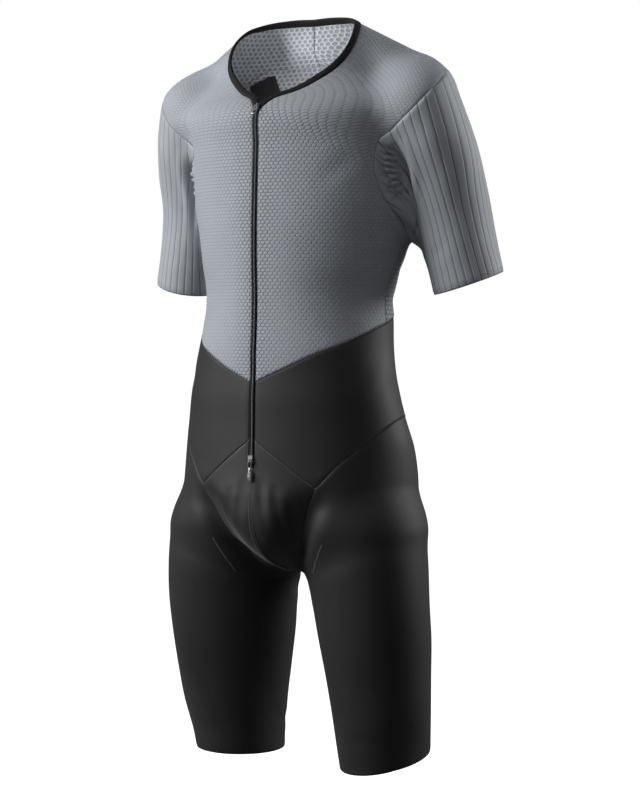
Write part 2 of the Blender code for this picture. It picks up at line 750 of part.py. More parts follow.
def sleeve_grid(lines):
    """Left sleeve, from the armhole to the cuff, with the folds under the arm."""
    places = rib_places()
    corner = places.astype(int)
    share = (places - corner)[:, None]
    loop = lines["armhole"]
    top = (1.0 - share) * loop[corner] + share * loop[(corner + 1) % RIB_COUNT]
    down = np.linspace(0.0, 1.0, STEPS["sleeve"] + 1)
    settle = np.clip(down / SLEEVE_SETTLES, 0.0, 1.0)
    settle = (settle**2 * (3.0 - 2.0 * settle))[:, None]
    on_arm = np.exp(-((sleeve_form(top) / SLEEVE_CLOSE) ** 2))[None]
    grid = tube(top, lines["cuff"], STEPS["sleeve"], sleeve_form, np.maximum(settle, on_arm))
    turns = -360.0 * places / RIB_COUNT
    lift = np.zeros(grid.shape[:2])
    for turn, width, height, start, end in SLEEVE_FOLDS:
        across = np.exp(-(((turns - turn) / width) ** 2))
        length = np.clip((down - start) / (end - start), 0.0, 1.0)
        lift += height * across[None] * (np.sin(math.pi * length) ** 2)[:, None]
    return grid + lift[..., None] * outward(sleeve_form, grid)


def leg_grid(lines, hem):
    """One leg as on the left, from the leg seam to its own hem."""
    top = chain_of(lines["leg_front"], lines["leg_back"][::-1])[:-1]
    columns = len(top)
    even = np.arange(columns) / columns
    marks = (0, STEPS["leg_front"], columns)
    by_seam = np.interp(np.arange(columns), marks, (0.0, LEG_FRONT_SHARE, 1.0))
    turns = LEG_HEM_START - math.pi * (even + by_seam)
    height, outward_rise, backward_rise = hem[1:]
    x = LEG_HEM_RADIUS * np.cos(turns)
    y = LEG_HEM_RADIUS * np.sin(turns)
    z = height + outward_rise * x + backward_rise * y
    centre_x = read(LEG, LEG_COLUMNS, "x", height)
    centre_y = read(LEG, LEG_COLUMNS, "y", height)
    foot = np.stack([centre_x + x, centre_y + y, z], axis=1)
    follow = np.ones((STEPS["leg"] + 1, columns))
    return tube(top, foot, STEPS["leg"], leg_form, follow)


def add_lines(grid, rows, columns):
    """Adds rows and columns between a grid's own, straight across its faces."""
    for axis, extra in enumerate((rows, columns)):
        places = np.sort(np.append(np.arange(grid.shape[axis]), extra))
        low = np.minimum(places.astype(int), grid.shape[axis] - 2)
        share = (places - low).reshape((-1, 1, 1) if axis == 0 else (1, -1, 1))
        grid = (1.0 - share) * np.take(grid, low, axis) + share * np.take(grid, low + 1, axis)
    return grid


def add_back(grid, collection):
    """Back panel, with the patch inside it made from the panel's own points moved inward."""
    normals = grid_normals(grid, form)
    flat = shrink(grid, normals)
    outer, inner = (
        add_lines(flat - wall * normals, PATCH_ROWS, PATCH_COLUMNS) for wall in (0.0, CLOTH)
    )
    add_object("back", cloth_mesh("back", outer, inner), make_material("back", GREY_MESH, ROUGHNESS["mesh"]), collection)
    rows = slice(int(PATCH_ROWS[0]) + 1, int(PATCH_ROWS[1]) + 3)
    columns = slice(int(PATCH_COLUMNS[0]) + 1, int(PATCH_COLUMNS[1]) + 3)
    inward = (inner - outer)[rows, columns] / CLOTH
    near, far = (inner[rows, columns] + depth * inward for depth in (SEAM_GAP, SEAM_GAP + PATCH_WALL))
    patch = cloth_mesh("inner_patch", near, far)
    add_object("inner_patch", patch, make_material("inner_patch", BLACK_TRIM, ROUGHNESS["patch"]), collection)


def binding_grid(lines):
    """Band round the neck opening, from one side of the zip to the other."""
    seam_line = np.vstack([lines["neck"], mirrored(lines["neck"])[-2::-1]])
    along = np.gradient(seam_line, axis=0)
    inward = np.cross(outward(form, seam_line), along)
    inward /= np.linalg.norm(inward, axis=1, keepdims=True)
    inward *= np.sign(inward[0, 2])
    grid = np.stack([seam_line + share * BINDING_WIDTH * inward for share in (0.0, 0.5, 1.0)])
    for column, side in ((0, 1.0), (-1, -1.0)):
        grid[:, column, 0] = side * (ZIP_WIDTH + SEAM_GAP) / 2.0
    return grid


def zip_grid(lines, binding):
    """Zip tape and coil, between the two fronts from the neck to its foot."""
    edge = chain_of(binding[::-1, 0], lines["zip_chest"], lines["zip_waist"], lines["zip_foot"])
    middle = onto(edge * (0.0, 1.0, 1.0), hold_x=True)
    return np.stack([edge, middle, mirrored(edge)], axis=1)[::-1]


def zip_frame(height):
    """A place on the zip's middle line, with how far the cloth leans there."""
    place = onto((0.0, ZIP_DEPTH, height), hold_x=True)
    out = outward(form, place)
    lean = math.atan2(-out[2], -out[1])
    return place, out, lean


def add_box(tool, size, centre, bevel):
    """A box with rounded edges."""
    made = bmesh.ops.create_cube(tool, size=1.0)["verts"]
    bmesh.ops.scale(tool, vec=size, verts=made)
    bmesh.ops.translate(tool, vec=centre, verts=made)
    edges = list({edge for vertex in made for edge in vertex.link_edges})
    bmesh.ops.bevel(tool, geom=edges, offset=bevel, segments=1, profile=0.5, affect="EDGES", material=-1)


def to_mesh(tool, name):
    """Ends a bmesh as a named mesh with smooth round sides."""
    mesh = bpy.data.meshes.new(name)
    tool.to_mesh(mesh)
    tool.free()
    mesh.shade_smooth()
    mesh.set_sharp_from_angle(angle=SMOOTH_ANGLE)
    return mesh


def add_slider(name, sizes, material, collection, cutters):
    """Slider with the ear that its pull hangs from."""
    place, out, lean = zip_frame(sizes["z"])
    lift = ZIP_PROUD + SEAM_GAP + SLIDER_CLEAR
    plate = bmesh.new()
    size = (sizes["width"], sizes["thick"], sizes["height"])
    add_box(plate, size, (0.0, -sizes["thick"] / 2.0, 0.0), PLATE_BEVEL)
    for vertex in plate.verts:
        if vertex.co.z < 0.0:
            vertex.co.x *= SLIDER_TAPER
    slider = add_object(name, to_mesh(plate, name), material, collection)
    ear_centre = (0.0, -sizes["thick"] - EAR_REACH / 2.0 + EAR_SINK, sizes["drop"])
    ear = bmesh.new()
    add_box(ear, (EAR_WIDTH, EAR_REACH + EAR_SINK, EAR_HEIGHT), ear_centre, EAR_BEVEL)
    ear_piece = add_object(name + "_ear", to_mesh(ear, name + "_ear"), material, cutters)
    hole = bmesh.new()
    hole_size = (3.0 * EAR_WIDTH, EAR_REACH - EAR_WALL, EAR_HEIGHT - 2.0 * EAR_WALL)
    hole_centre = (0.0, -sizes["thick"] - hole_size[1] / 2.0, sizes["drop"])
    add_box(hole, hole_size, hole_centre, HOLE_BEVEL)
    hole_piece = add_object(name + "_hole", to_mesh(hole, name + "_hole"), material, cutters)
    for piece, operation in ((ear_piece, "UNION"), (hole_piece, "DIFFERENCE")):
        piece.display_type = "WIRE"
        piece.hide_render = True
        cut = slider.modifiers.new(operation.title(), "BOOLEAN")
        cut.operation = operation
        cut.object = piece
        cut.solver = "EXACT"
    for piece in (slider, ear_piece, hole_piece):
        piece.location = place + lift * out
        piece.rotation_euler = (lean, 0.0, 0.0)
    return axis_place(place + lift * out, lean, hole_centre), lean


def axis_place(origin, lean, local):
    """A place given on a slider, in the part's own frame."""
    x, y, z = local
    turned = (x, y * math.cos(lean) - z * math.sin(lean), y * math.sin(lean) + z * math.cos(lean))
    return np.array(origin) + turned


def add_ring(name, width, height, wire, material, collection):
    """Oval wire ring hanging from the middle of its top wire."""
    ring = bmesh.new()
    made = bmesh.ops.create_circle(ring, segments=RING_SIDES, radius=wire, cap_ends=False)["verts"]
    half_width = width / 2.0 - wire
    half_height = height / 2.0 - wire
    bmesh.ops.rotate(ring, verts=made, cent=(0, 0, 0), matrix=Matrix.Rotation(math.pi / 2.0, 3, "Y"))
    bmesh.ops.translate(ring, verts=made, vec=(0.0, 0.0, half_height))
    swept = {"cent": (0, 0, 0), "axis": (0, 1, 0), "angle": 2.0 * math.pi, "steps": RING_TURNS}
    bmesh.ops.spin(ring, geom=ring.edges[:], use_merge=True, **swept)
    for vertex in ring.verts:
        angle = math.atan2(vertex.co.x, vertex.co.z)
        vertex.co.x += (half_width - half_height) * math.sin(angle)
        vertex.co.z -= half_height
    bmesh.ops.remove_doubles(ring, verts=ring.verts[:], dist=1e-6)
    bmesh.ops.recalc_face_normals(ring, faces=ring.faces[:])
    return add_object(name, to_mesh(ring, name), material, collection)


def add_drop(ring, top, material, cutters):
    """Flat teardrop tab fused to the foot of its ring."""
    drop = bmesh.new()
    bmesh.ops.create_uvsphere(drop, u_segments=DROP_SIDES, v_segments=DROP_ROWS, radius=0.5)
    for vertex in drop.verts:
        narrow = 1.0 - DROP_TAPER * (1.0 + math.sin(math.pi * vertex.co.z))
        vertex.co = (
            vertex.co.x * DROP_WIDTH * narrow,
            vertex.co.y * DROP_THICK,
            top + (vertex.co.z - 0.5) * DROP_HEIGHT,
        )
    tab = add_object(ring.name + "_tab", to_mesh(drop, ring.name + "_tab"), material, cutters)
    tab.display_type = "WIRE"
    tab.hide_render = True
    weld = ring.modifiers.new("Union", "BOOLEAN")
    weld.operation = "UNION"
    weld.object = tab
    weld.solver = "EXACT"
    return tab


def build():
    """Makes every piece of the skinsuit."""
    clear_scene()
    suit = bpy.data.collections.new("cycling_skinsuit")
    cutters = bpy.data.collections.new("cutters")
    for collection in (suit, cutters):
        bpy.context.scene.collection.children.link(collection)
    lines = find_seams()

    front = front_grid(lines)
    waist = waist_grid(lines)
    crotch = crotch_grid(lines)
    sleeve = sleeve_grid(lines)
    ribs = RIB_HEIGHT * np.tile(np.array(RIB_SHAPE)[:, 1], RIB_COUNT)
    ribs = np.broadcast_to(ribs, sleeve.shape[:2]).copy()
    ribs[0] = 0.0
    pieces = (
        ("front", front, GREY_MESH, ROUGHNESS["mesh"], form, False, 0.0),
        ("waist", waist, BLACK_LYCRA, ROUGHNESS["lycra"], form, False, 0.0),
        ("crotch", crotch, BLACK_LYCRA, ROUGHNESS["crotch"], form, False, 0.0),
        ("sleeve", sleeve, GREY_RIB, ROUGHNESS["rib"], sleeve_form, True, ribs),
    )
    for name, grid, colour, roughness, surface, closed, raised in pieces:
        for side, side_name in ((1, "left"), (-1, "right")):
            material = make_material(name + "_" + side_name, colour, roughness)
            own = grid if side > 0 else mirrored(grid)
            near = surface if side > 0 else on_right(surface)
            add_panel(name + "_" + side_name, own, material, suit, near, closed, raised)
    for hem in LEG_HEMS:
        side, side_name = (hem[0], "left" if hem[0] > 0 else "right")
        own = leg_grid(lines, hem) * (side, 1.0, 1.0)
        near = leg_form if side > 0 else on_right(leg_form)
        cloth = make_material("leg_" + side_name, BLACK_LYCRA, ROUGHNESS["lycra"])
        add_panel("leg_" + side_name, own, cloth, suit, near, True)
    add_back(back_grid(lines), suit)
    binding = binding_grid(lines)
    trim = make_material("neck_binding", BLACK_TRIM, ROUGHNESS["binding"])
    add_panel("neck_binding", binding, trim, suit, raised=BINDING_PROUD)
    chain = make_material("zip_chain", BLACK_TRIM, ROUGHNESS["tape"])
    add_panel("zip_chain", zip_grid(lines, binding), chain, suit, raised=ZIP_PROUD)

    metal = make_material("zip_metal", DARK_METAL, METAL_ROUGHNESS["dark"], 1.0)
    silver = make_material("zip_pull", SILVER, METAL_ROUGHNESS["silver"], 1.0)
    pivot, lean = add_slider("zip_slider_top", SLIDER_TOP, metal, suit, cutters)
    ring = add_ring("zip_pull_top", RING_WIDTH, RING_HEIGHT, PULL_WIRE, metal, suit)
    ring.location = pivot
    ring.rotation_euler = (lean, 0.0, 0.0)
    print("top pull turns about", np.round(pivot, 5), "lean", round(lean, 4))
    pivot, lean = add_slider("zip_slider_foot", SLIDER_FOOT, metal, suit, cutters)
    loop = add_ring("zip_pull_foot", LOOP_WIDTH, LOOP_HEIGHT, PULL_WIRE, silver, suit)
    tab = add_drop(loop, -LOOP_HEIGHT + DROP_LAP * PULL_WIRE, silver, cutters)
    for piece in (loop, tab):
        piece.location = pivot
        piece.rotation_euler = (lean, 0.0, 0.0)
    print("foot pull turns about", np.round(pivot, 5), "lean", round(lean, 4))


def on_right(surface):
    """A left form's distance, read on the wearer's right half."""
    return lambda p: surface(p * (-1.0, 1.0, 1.0))


if __name__ == "__main__":
    build()
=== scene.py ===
# %% [markdown]
# # A cycling skinsuit in its worn shape
# This lesson dresses the CAD part of a short-sleeved skinsuit. The part already has every
# panel in its true place, but with plain faces. Here each panel becomes fine cloth with its own
# knit, seams, stitches and soft creases, and stands for its CAD node.

# %% Open the frame
import math

import bmesh
import bpy
import numpy as np
from mathutils import Matrix, Vector


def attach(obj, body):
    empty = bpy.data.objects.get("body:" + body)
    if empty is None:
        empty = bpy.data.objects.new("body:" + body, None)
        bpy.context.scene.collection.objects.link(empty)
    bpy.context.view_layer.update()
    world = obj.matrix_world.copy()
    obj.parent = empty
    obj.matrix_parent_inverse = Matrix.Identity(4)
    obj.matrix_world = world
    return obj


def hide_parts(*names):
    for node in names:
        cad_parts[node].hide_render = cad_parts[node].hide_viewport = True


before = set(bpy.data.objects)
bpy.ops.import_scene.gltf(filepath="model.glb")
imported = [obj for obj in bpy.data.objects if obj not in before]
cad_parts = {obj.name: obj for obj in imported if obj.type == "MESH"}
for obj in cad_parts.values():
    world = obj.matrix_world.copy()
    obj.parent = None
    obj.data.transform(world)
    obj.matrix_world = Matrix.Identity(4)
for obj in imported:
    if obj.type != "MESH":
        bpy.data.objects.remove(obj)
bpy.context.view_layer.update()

# %% [markdown]
# ## Camera
# The photo was taken level with the waist, from the wearer's left front, 33 degrees off the
# zip. A long lens of 112 mm at 3.3 m keeps the sides of the suit nearly straight. The camera
# tips down by less than two degrees, so that no lens shift is needed.

# %% Camera
CAMERA_TURN = math.radians(33)
CAMERA_REACH = 3.3
CAMERA_HEIGHT = -0.3234
CAMERA_TIP = math.radians(1.83)
CAMERA_SIDE = 0.0264

camera_data = bpy.data.cameras.new("camera")
camera_data.lens = 112.5
camera_data.sensor_width = 36.0
camera = bpy.data.objects.new("camera", camera_data)
aside = Vector((math.cos(CAMERA_TURN), math.sin(CAMERA_TURN), 0.0))
toward = Vector((math.sin(CAMERA_TURN), -math.cos(CAMERA_TURN), 0.0))
camera.location = CAMERA_REACH * toward + CAMERA_SIDE * aside + Vector((0.0, 0.0, CAMERA_HEIGHT))
camera.rotation_euler = (math.pi / 2.0 - CAMERA_TIP, 0.0, CAMERA_TURN)
bpy.context.scene.collection.objects.link(camera)
bpy.context.scene.camera = camera
print("camera at", [round(v, 3) for v in camera.location])

# %% [markdown]
# ## The worn form
# The cloth lies on one smooth form: body, shoulders, arms and legs that run softly into each
# other. The form is a distance function, read from short tables of sections, the same as in
# the CAD source. Points can be pushed straight onto it, so fine cloth fits the CAD panels.

# %% Sizes and sections of the form
# Driving dimensions, in metres
CLOTH = 0.0015
SEAM_GAP = 0.0003
RIB_COUNT = 28
RIB_HEIGHT = 0.0007
BINDING_WIDTH = 0.0075
BINDING_PROUD = 0.0005
ZIP_WIDTH = 0.0065
ZIP_PROUD = 0.0003
ZIP_FOOT = -0.512
WAIST_FRONT = -0.4035
CROTCH_SEAM_FRONT = -0.4765
LEG_TURN = math.radians(33)

# Places where a sleeve meets the side seam and the yoke seam, counted in ribs
ARMPIT_RIB = 15
YOKE_RIB = 24

# One rib of the sleeve: how far across it, and how much of its height
RIB_SHAPE = ((0.0, 0.0), (0.25, 1.0), (0.75, 1.0))

# How many steps each seam is cut into
STEPS = {
    "zip_chest": 13,
    "zip_waist": 14,
    "zip_foot": 3,
    "crotch_centre": 6,
    "neck": 14,
    "back_neck": 2,
    "yoke": 9,
    "side": 10,
    "waist_front": 9,
    "waist_back": 9,
    "crotch_top": 3,
    "crotch_joint": 3,
    "seat": 11,
    "leg_front": 10,
    "leg_back": 15,
    "sleeve": 5,
    "leg": 10,
}

# Body sections: half width, reach to the front and to the back of a middle line
TORSO_COLUMNS = ("z", "half_width", "front", "back", "middle")
TORSO = (
    (0.000, 0.160, 0.085, 0.055, 0.030),
    (-0.020, 0.165, 0.098, 0.070, 0.022),
    (-0.050, 0.165, 0.1095, 0.098, 0.010),
    (-0.100, 0.160, 0.115, 0.100, 0.012),
    (-0.170, 0.158, 0.122, 0.110, 0.016),
    (-0.205, 0.151, 0.123, 0.110, 0.016),
    (-0.250, 0.140, 0.113, 0.108, 0.006),
    (-0.290, 0.131, 0.107, 0.100, 0.001),
    (-0.330, 0.134, 0.103, 0.1005, -0.004),
    (-0.360, 0.139, 0.099, 0.099, -0.010),
    (-0.392, 0.145, 0.096, 0.099, -0.0137),
    (-0.424, 0.151, 0.098, 0.105, -0.0137),
    (-0.455, 0.157, 0.103, 0.108, -0.009),
    (-0.487, 0.1635, 0.110, 0.115, -0.003),
    (-0.519, 0.167, 0.112, 0.123, -0.002),
    (-0.550, 0.169, 0.112, 0.128, -0.004),
)
TORSO_TOP = -0.060
TORSO_TOP_ROUND = 0.080
TORSO_FOOT = -0.560
TORSO_FOOT_ROUND = 0.092
TORSO_FOOT_POWER = 2.6
TORSO_SCALE = 0.11

# Arm sections, round in the level plane
ARM_COLUMNS = ("z", "x", "y", "radius")
ARM = (
    (-0.0450, 0.1763, 0.0169, 0.0521),
    (-0.0568, 0.1750, 0.0200, 0.0560),
    (-0.0953, 0.1865, 0.0294, 0.0548),
    (-0.1822, 0.1998, 0.0540, 0.0510),
    (-0.2256, 0.2078, 0.0580, 0.0498),
    (-0.2691, 0.2200, 0.0604, 0.0478),
    (-0.3000, 0.2280, 0.0620, 0.0462),
)
ARM_TOP = -0.0450
ARM_FOOT = -0.3000
CUFF_CENTRE = (0.221, 0.0610, -0.2755)
CUFF_AXIS = (0.057, 0.050, -0.220)
CUFF_RADIUS = 0.0470

# Cloth under the arm: how soon it meets the arm, and the soft folds that gather there
SLEEVE_SETTLES = 0.5
SLEEVE_CLOSE = 0.008
FOLD_COLUMNS = ("turn", "width", "height", "start", "end")
SLEEVE_FOLDS = (
    (-118.0, 9.0, 0.0030, 0.00, 0.75),
    (-142.0, 8.0, 0.0035, 0.00, 0.60),
    (-166.0, 8.0, 0.0030, 0.00, 0.55),
    (-208.0, 10.0, 0.0030, 0.00, 0.65),
)

# Leg sections, oval in the level plane and turned outward
LEG_COLUMNS = ("z", "x", "y", "long", "short")
LEG = (
    (-0.580, 0.1000, 0.0000, 0.0880, 0.0780),
    (-0.645, 0.1040, 0.0000, 0.0900, 0.0780),
    (-0.690, 0.1087, 0.0020, 0.0870, 0.0742),
    (-0.737, 0.1114, 0.0075, 0.0833, 0.0718),
    (-0.785, 0.1137, 0.0123, 0.0772, 0.0675),
    (-0.832, 0.1153, 0.0172, 0.0704, 0.0642),
    (-0.885, 0.1148, 0.0251, 0.0616, 0.0614),
    (-0.905, 0.1148, 0.0280, 0.0600, 0.0600),
)
LEG_TOP = -0.600
LEG_TOP_ROUND = 0.060
LEG_SCALE = 0.075
LEG_HEM_RADIUS = 0.0608

# Leg hems: the height at the leg's middle, and how much each hem rises outward and backward
HEM_COLUMNS = ("side", "z", "outward", "backward")
LEG_HEMS = (
    (1, -0.8967, 0.080, 0.250),
    (-1, -0.9010, 0.029, 0.044),
)
LEG_HEM_START = math.radians(-100)
LEG_FRONT_SHARE = 0.22

# Shoulders: a tapered bar on each side, and the dome that the neck is cut from
SHOULDER_INNER = (0.0292, 0.0033, 0.0534)
SHOULDER_INNER_RADIUS = 0.0337
SHOULDER_OUTER = (0.1514, 0.0367, -0.0159)
SHOULDER_OUTER_RADIUS = 0.0378
NECK_CENTRE = (0.0, -0.0185, -0.0399)
NECK_RADII = (0.1076, 0.0453, 0.1156)
NECK_SCALE = 0.11

# How softly two forms run into each other
SOFT = {"shoulders": 0.05, "neck": 0.0312, "torso": 0.0392, "arm": 0.03, "legs": 0.015, "hips": 0.028}

# Valleys between the crotch and the thighs: how far out each one lies, and how deep it is
GROOVE_COLUMNS = ("z", "x", "depth")
GROOVE = (
    (-0.500, 0.1000, 0.000),
    (-0.537, 0.0875, 0.001),
    (-0.571, 0.0696, 0.013),
    (-0.603, 0.0526, 0.020),
    (-0.620, 0.0422, 0.020),
    (-0.640, 0.0280, 0.010),
    (-0.660, 0.0180, 0.000),
)
GROOVE_WIDTH = 0.022
GROOVE_FADE = 0.050

# Seams on the wearer's left half, as places on the form, each given as x, y and z
NECK_SEAM = (
    (0.0000, -0.0960, -0.0430),
    (0.0340, -0.0770, -0.0330),
    (0.0570, -0.0630, -0.0200),
    (0.0760, -0.0495, -0.0060),
    (0.0870, -0.0390, 0.0060),
    (0.0946, -0.0280, 0.0210),
    (0.0965, -0.0170, 0.0360),
    (0.0930, -0.0030, 0.0500),
    (0.0780, 0.0200, 0.0625),
    (0.0550, 0.0300, 0.0675),
    (0.0280, 0.0360, 0.0690),
    (0.0000, 0.0380, 0.0685),
)
YOKE_SEAM = (
    (0.0000, 0.0550, 0.0160),
    (0.0540, 0.0582, 0.0145),
    (0.0940, 0.0619, 0.0140),
)
SIDE_SEAM = (
    (0.1435, 0.0215, -0.2340),
    (0.1385, 0.0130, -0.2540),
    (0.1310, 0.0030, -0.2900),
    (0.1320, 0.0000, -0.3275),
)
WAIST_SEAM_FRONT = (
    (0.0000, -0.1100, -0.4035),
    (0.0370, -0.1063, -0.3889),
    (0.0760, -0.0938, -0.3698),
    (0.1090, -0.0697, -0.3540),
    (0.1294, -0.0347, -0.3375),
    (0.1320, 0.0000, -0.3275),
)
WAIST_SEAM_BACK = (
    (0.1320, 0.0000, -0.3275),
    (0.1265, 0.0400, -0.3180),
    (0.0750, 0.0850, -0.3110),
    (0.0000, 0.1000, -0.3080),
)
CROTCH_TOP_SEAM = (
    (0.0085, -0.1130, -0.4805),
    (0.0463, -0.1090, -0.5065),
    (0.0875, -0.0985, -0.5370),
)
LEG_SEAM_FRONT = (
    (0.0875, -0.0985, -0.5370),
    (0.0696, -0.0890, -0.5710),
    (0.0526, -0.0735, -0.6030),
    (0.0422, -0.0597, -0.6200),
    (0.0283, -0.0315, -0.6380),
    (0.0150, 0.0000, -0.6500),
)
LEG_SEAM_BACK = (
    (0.0875, -0.0985, -0.5370),
    (0.1120, -0.0845, -0.5085),
    (0.1300, -0.0700, -0.4900),
    (0.1525, -0.0359, -0.4617),
    (0.1561, -0.0070, -0.4505),
    (0.1520, 0.0350, -0.4450),
    (0.1300, 0.0800, -0.4550),
    (0.0950, 0.1120, -0.4900),
    (0.0600, 0.1220, -0.5500),
    (0.0400, 0.1100, -0.6050),
    (0.0280, 0.0700, -0.6400),
    (0.0150, 0.0000, -0.6500),
)
CROTCH_CENTRE = (
    (0.0000, -0.1130, -0.5120),
    (0.0000, -0.1140, -0.5450),
    (0.0000, -0.1100, -0.5900),
    (0.0000, -0.0870, -0.6260),
    (0.0000, -0.0340, -0.6420),
    (0.0000, 0.0000, -0.6520),
)
SEAT_CENTRE = (
    (0.0000, 0.1000, -0.3080),
    (0.0000, 0.1100, -0.4000),
    (0.0000, 0.1240, -0.5000),
    (0.0000, 0.1180, -0.5800),
    (0.0000, 0.0700, -0.6400),
    (0.0000, 0.0000, -0.6520),
)

# Armhole: turn is the direction round the arm, in degrees, that a rib keeps to the cuff
ARMHOLE_COLUMNS = ("turn", "x", "y", "z")
ARMHOLE = (
    (-347.0, 0.2080, 0.0250, -0.0020),
    (-326.0, 0.2020, 0.0460, -0.0160),
    (-307.0, 0.1890, 0.0600, -0.0330),
    (-280.0, 0.1720, 0.0760, -0.0680),
    (-247.0, 0.1530, 0.0850, -0.1250),
    (-220.0, 0.1455, 0.0740, -0.1850),
    (-206.0, 0.1490, 0.0520, -0.2190),
    (-193.0, 0.1520, 0.0280, -0.2205),
    (-178.0, 0.1535, 0.0000, -0.1910),
    (-167.0, 0.1480, -0.0260, -0.1710),
    (-155.0, 0.1428, -0.0385, -0.1450),
    (-143.0, 0.1414, -0.0408, -0.1200),
    (-130.0, 0.1435, -0.0393, -0.0980),
    (-119.0, 0.1557, -0.0337, -0.0862),
    (-93.0, 0.1757, -0.0358, -0.0709),
    (-68.0, 0.1950, -0.0324, -0.0531),
    (-42.0, 0.2111, -0.0195, -0.0315),
    (-16.0, 0.2144, 0.0110, -0.0099),
    (13.0, 0.2080, 0.0250, -0.0020),
)


# %% The form as a distance
def read(table, columns, name, key):
    """One column of a table, read smoothly between its rows."""
    rows = sorted(table)
    keys = np.array([row[0] for row in rows])
    values = np.array([row[columns.index(name)] for row in rows])
    slopes = np.gradient(values, keys)
    place = np.clip(key, keys[0], keys[-1])
    low = np.clip(np.searchsorted(keys, place) - 1, 0, len(keys) - 2)
    span = keys[low + 1] - keys[low]
    t = (place - keys[low]) / span
    start = (2 * t**3 - 3 * t**2 + 1) * values[low] + (t**3 - 2 * t**2 + t) * span * slopes[low]
    end = (3 * t**2 - 2 * t**3) * values[low + 1] + (t**3 - t**2) * span * slopes[low + 1]
    return start + end


def join(first, second, soft):
    """Two forms run into each other over a soft width."""
    share = np.clip(0.5 + 0.5 * (second - first) / soft, 0.0, 1.0)
    return second * (1.0 - share) + first * share - soft * share * (1.0 - share)


def torso(p):
    """Distance from the body's own form, about zero on the cloth."""
    x, y, z = p[..., 0], p[..., 1], p[..., 2]
    depth = y - read(TORSO, TORSO_COLUMNS, "middle", z)
    front = read(TORSO, TORSO_COLUMNS, "front", z)
    back = read(TORSO, TORSO_COLUMNS, "back", z)
    reach = np.where(depth < 0.0, front, back)
    top = np.maximum(0.0, z - TORSO_TOP) / TORSO_TOP_ROUND
    foot = np.maximum(0.0, TORSO_FOOT - z) / TORSO_FOOT_ROUND
    wide = x / read(TORSO, TORSO_COLUMNS, "half_width", z)
    rho = np.sqrt(wide**2 + (depth / reach) ** 2 + top**2 + foot**TORSO_FOOT_POWER)
    return (rho - 1.0) * TORSO_SCALE


def arm(p, side):
    """Distance from one arm of the form."""
    x, y, z = p[..., 0] * side, p[..., 1], p[..., 2]
    across = x - read(ARM, ARM_COLUMNS, "x", z)
    along = y - read(ARM, ARM_COLUMNS, "y", z)
    beyond = np.maximum(0.0, z - ARM_TOP) + np.maximum(0.0, ARM_FOOT - z)
    return np.sqrt(across**2 + along**2 + beyond**2) - read(ARM, ARM_COLUMNS, "radius", z)


def leg(p, side):
    """Distance from one leg of the form."""
    z = p[..., 2]
    out = p[..., 0] * side - read(LEG, LEG_COLUMNS, "x", z)
    back = p[..., 1] - read(LEG, LEG_COLUMNS, "y", z)
    major = out * math.cos(LEG_TURN) - back * math.sin(LEG_TURN)
    minor = out * math.sin(LEG_TURN) + back * math.cos(LEG_TURN)
    top = np.maximum(0.0, z - LEG_TOP) / LEG_TOP_ROUND
    long = major / read(LEG, LEG_COLUMNS, "long", z)
    short = minor / read(LEG, LEG_COLUMNS, "short", z)
    return (np.sqrt(long**2 + short**2 + top**2) - 1.0) * LEG_SCALE


def shoulder(p, side):
    """Distance from the tapered bar of one shoulder."""
    inner = np.array(SHOULDER_INNER) * (side, 1.0, 1.0)
    outer = np.array(SHOULDER_OUTER) * (side, 1.0, 1.0)
    run = outer - inner
    t = np.clip(((p - inner) @ run) / (run @ run), 0.0, 1.0)
    nearest = inner + t[..., None] * run
    radius = SHOULDER_INNER_RADIUS + t * (SHOULDER_OUTER_RADIUS - SHOULDER_INNER_RADIUS)
    return np.linalg.norm(p - nearest, axis=-1) - radius


def neck(p):
    """Distance from the dome that the neck opening is cut from."""
    return (np.linalg.norm((p - np.array(NECK_CENTRE)) / np.array(NECK_RADII), axis=-1) - 1.0) * NECK_SCALE


def yoke(p):
    """Both shoulders and the neck as one form."""
    bars = join(shoulder(p, 1), shoulder(p, -1), SOFT["shoulders"])
    return join(bars, neck(p), SOFT["neck"])


def groove(p):
    """How far the cloth dips into the valleys beside the crotch."""
    z = p[..., 2]
    across = (np.abs(p[..., 0]) - read(GROOVE, GROOVE_COLUMNS, "x", z)) / GROOVE_WIDTH
    front = np.clip(-p[..., 1] / GROOVE_FADE, 0.0, 1.0)
    return read(GROOVE, GROOVE_COLUMNS, "depth", z) * front * np.exp(-(across**2))


def form(p):
    """The whole worn form, that every seam lies on."""
    body = join(torso(p), yoke(p), SOFT["torso"])
    body = join(body, arm(p, 1), SOFT["arm"])
    body = join(body, arm(p, -1), SOFT["arm"])
    legs = join(leg(p, 1), leg(p, -1), SOFT["legs"])
    return join(body, legs, SOFT["hips"]) + groove(p)


def sleeve_form(p):
    """The left arm under its shoulder, without the chest beside it."""
    return join(shoulder(p, 1), arm(p, 1), SOFT["arm"])


def leg_form(p):
    """The left leg under the hips, without the other leg."""
    return join(torso(p), leg(p, 1), SOFT["hips"]) + groove(p)


def slope(surface, p, step=0.0004):
    """How a form's distance changes along X, Y and Z."""
    change = [surface(p + step * axis) - surface(p - step * axis) for axis in np.eye(3)]
    return np.stack(change, axis=-1) / (2.0 * step)


def outward(surface, p, step=0.0004):
    """Unit direction straight out of a form."""
    rise = slope(surface, p, step)
    return rise / np.linalg.norm(rise, axis=-1, keepdims=True)


def onto(points, surface=form, hold_x=False, passes=6):
    """Moves points straight onto a form, within their own upright plane if asked."""
    p = np.array(points, dtype=float)
    for _ in range(passes):
        rise = slope(surface, p)
        if hold_x:
            rise[..., 0] = 0.0
        steep = np.maximum((rise**2).sum(axis=-1, keepdims=True), 0.05)
        p -= surface(p)[..., None] * rise / steep
    return p


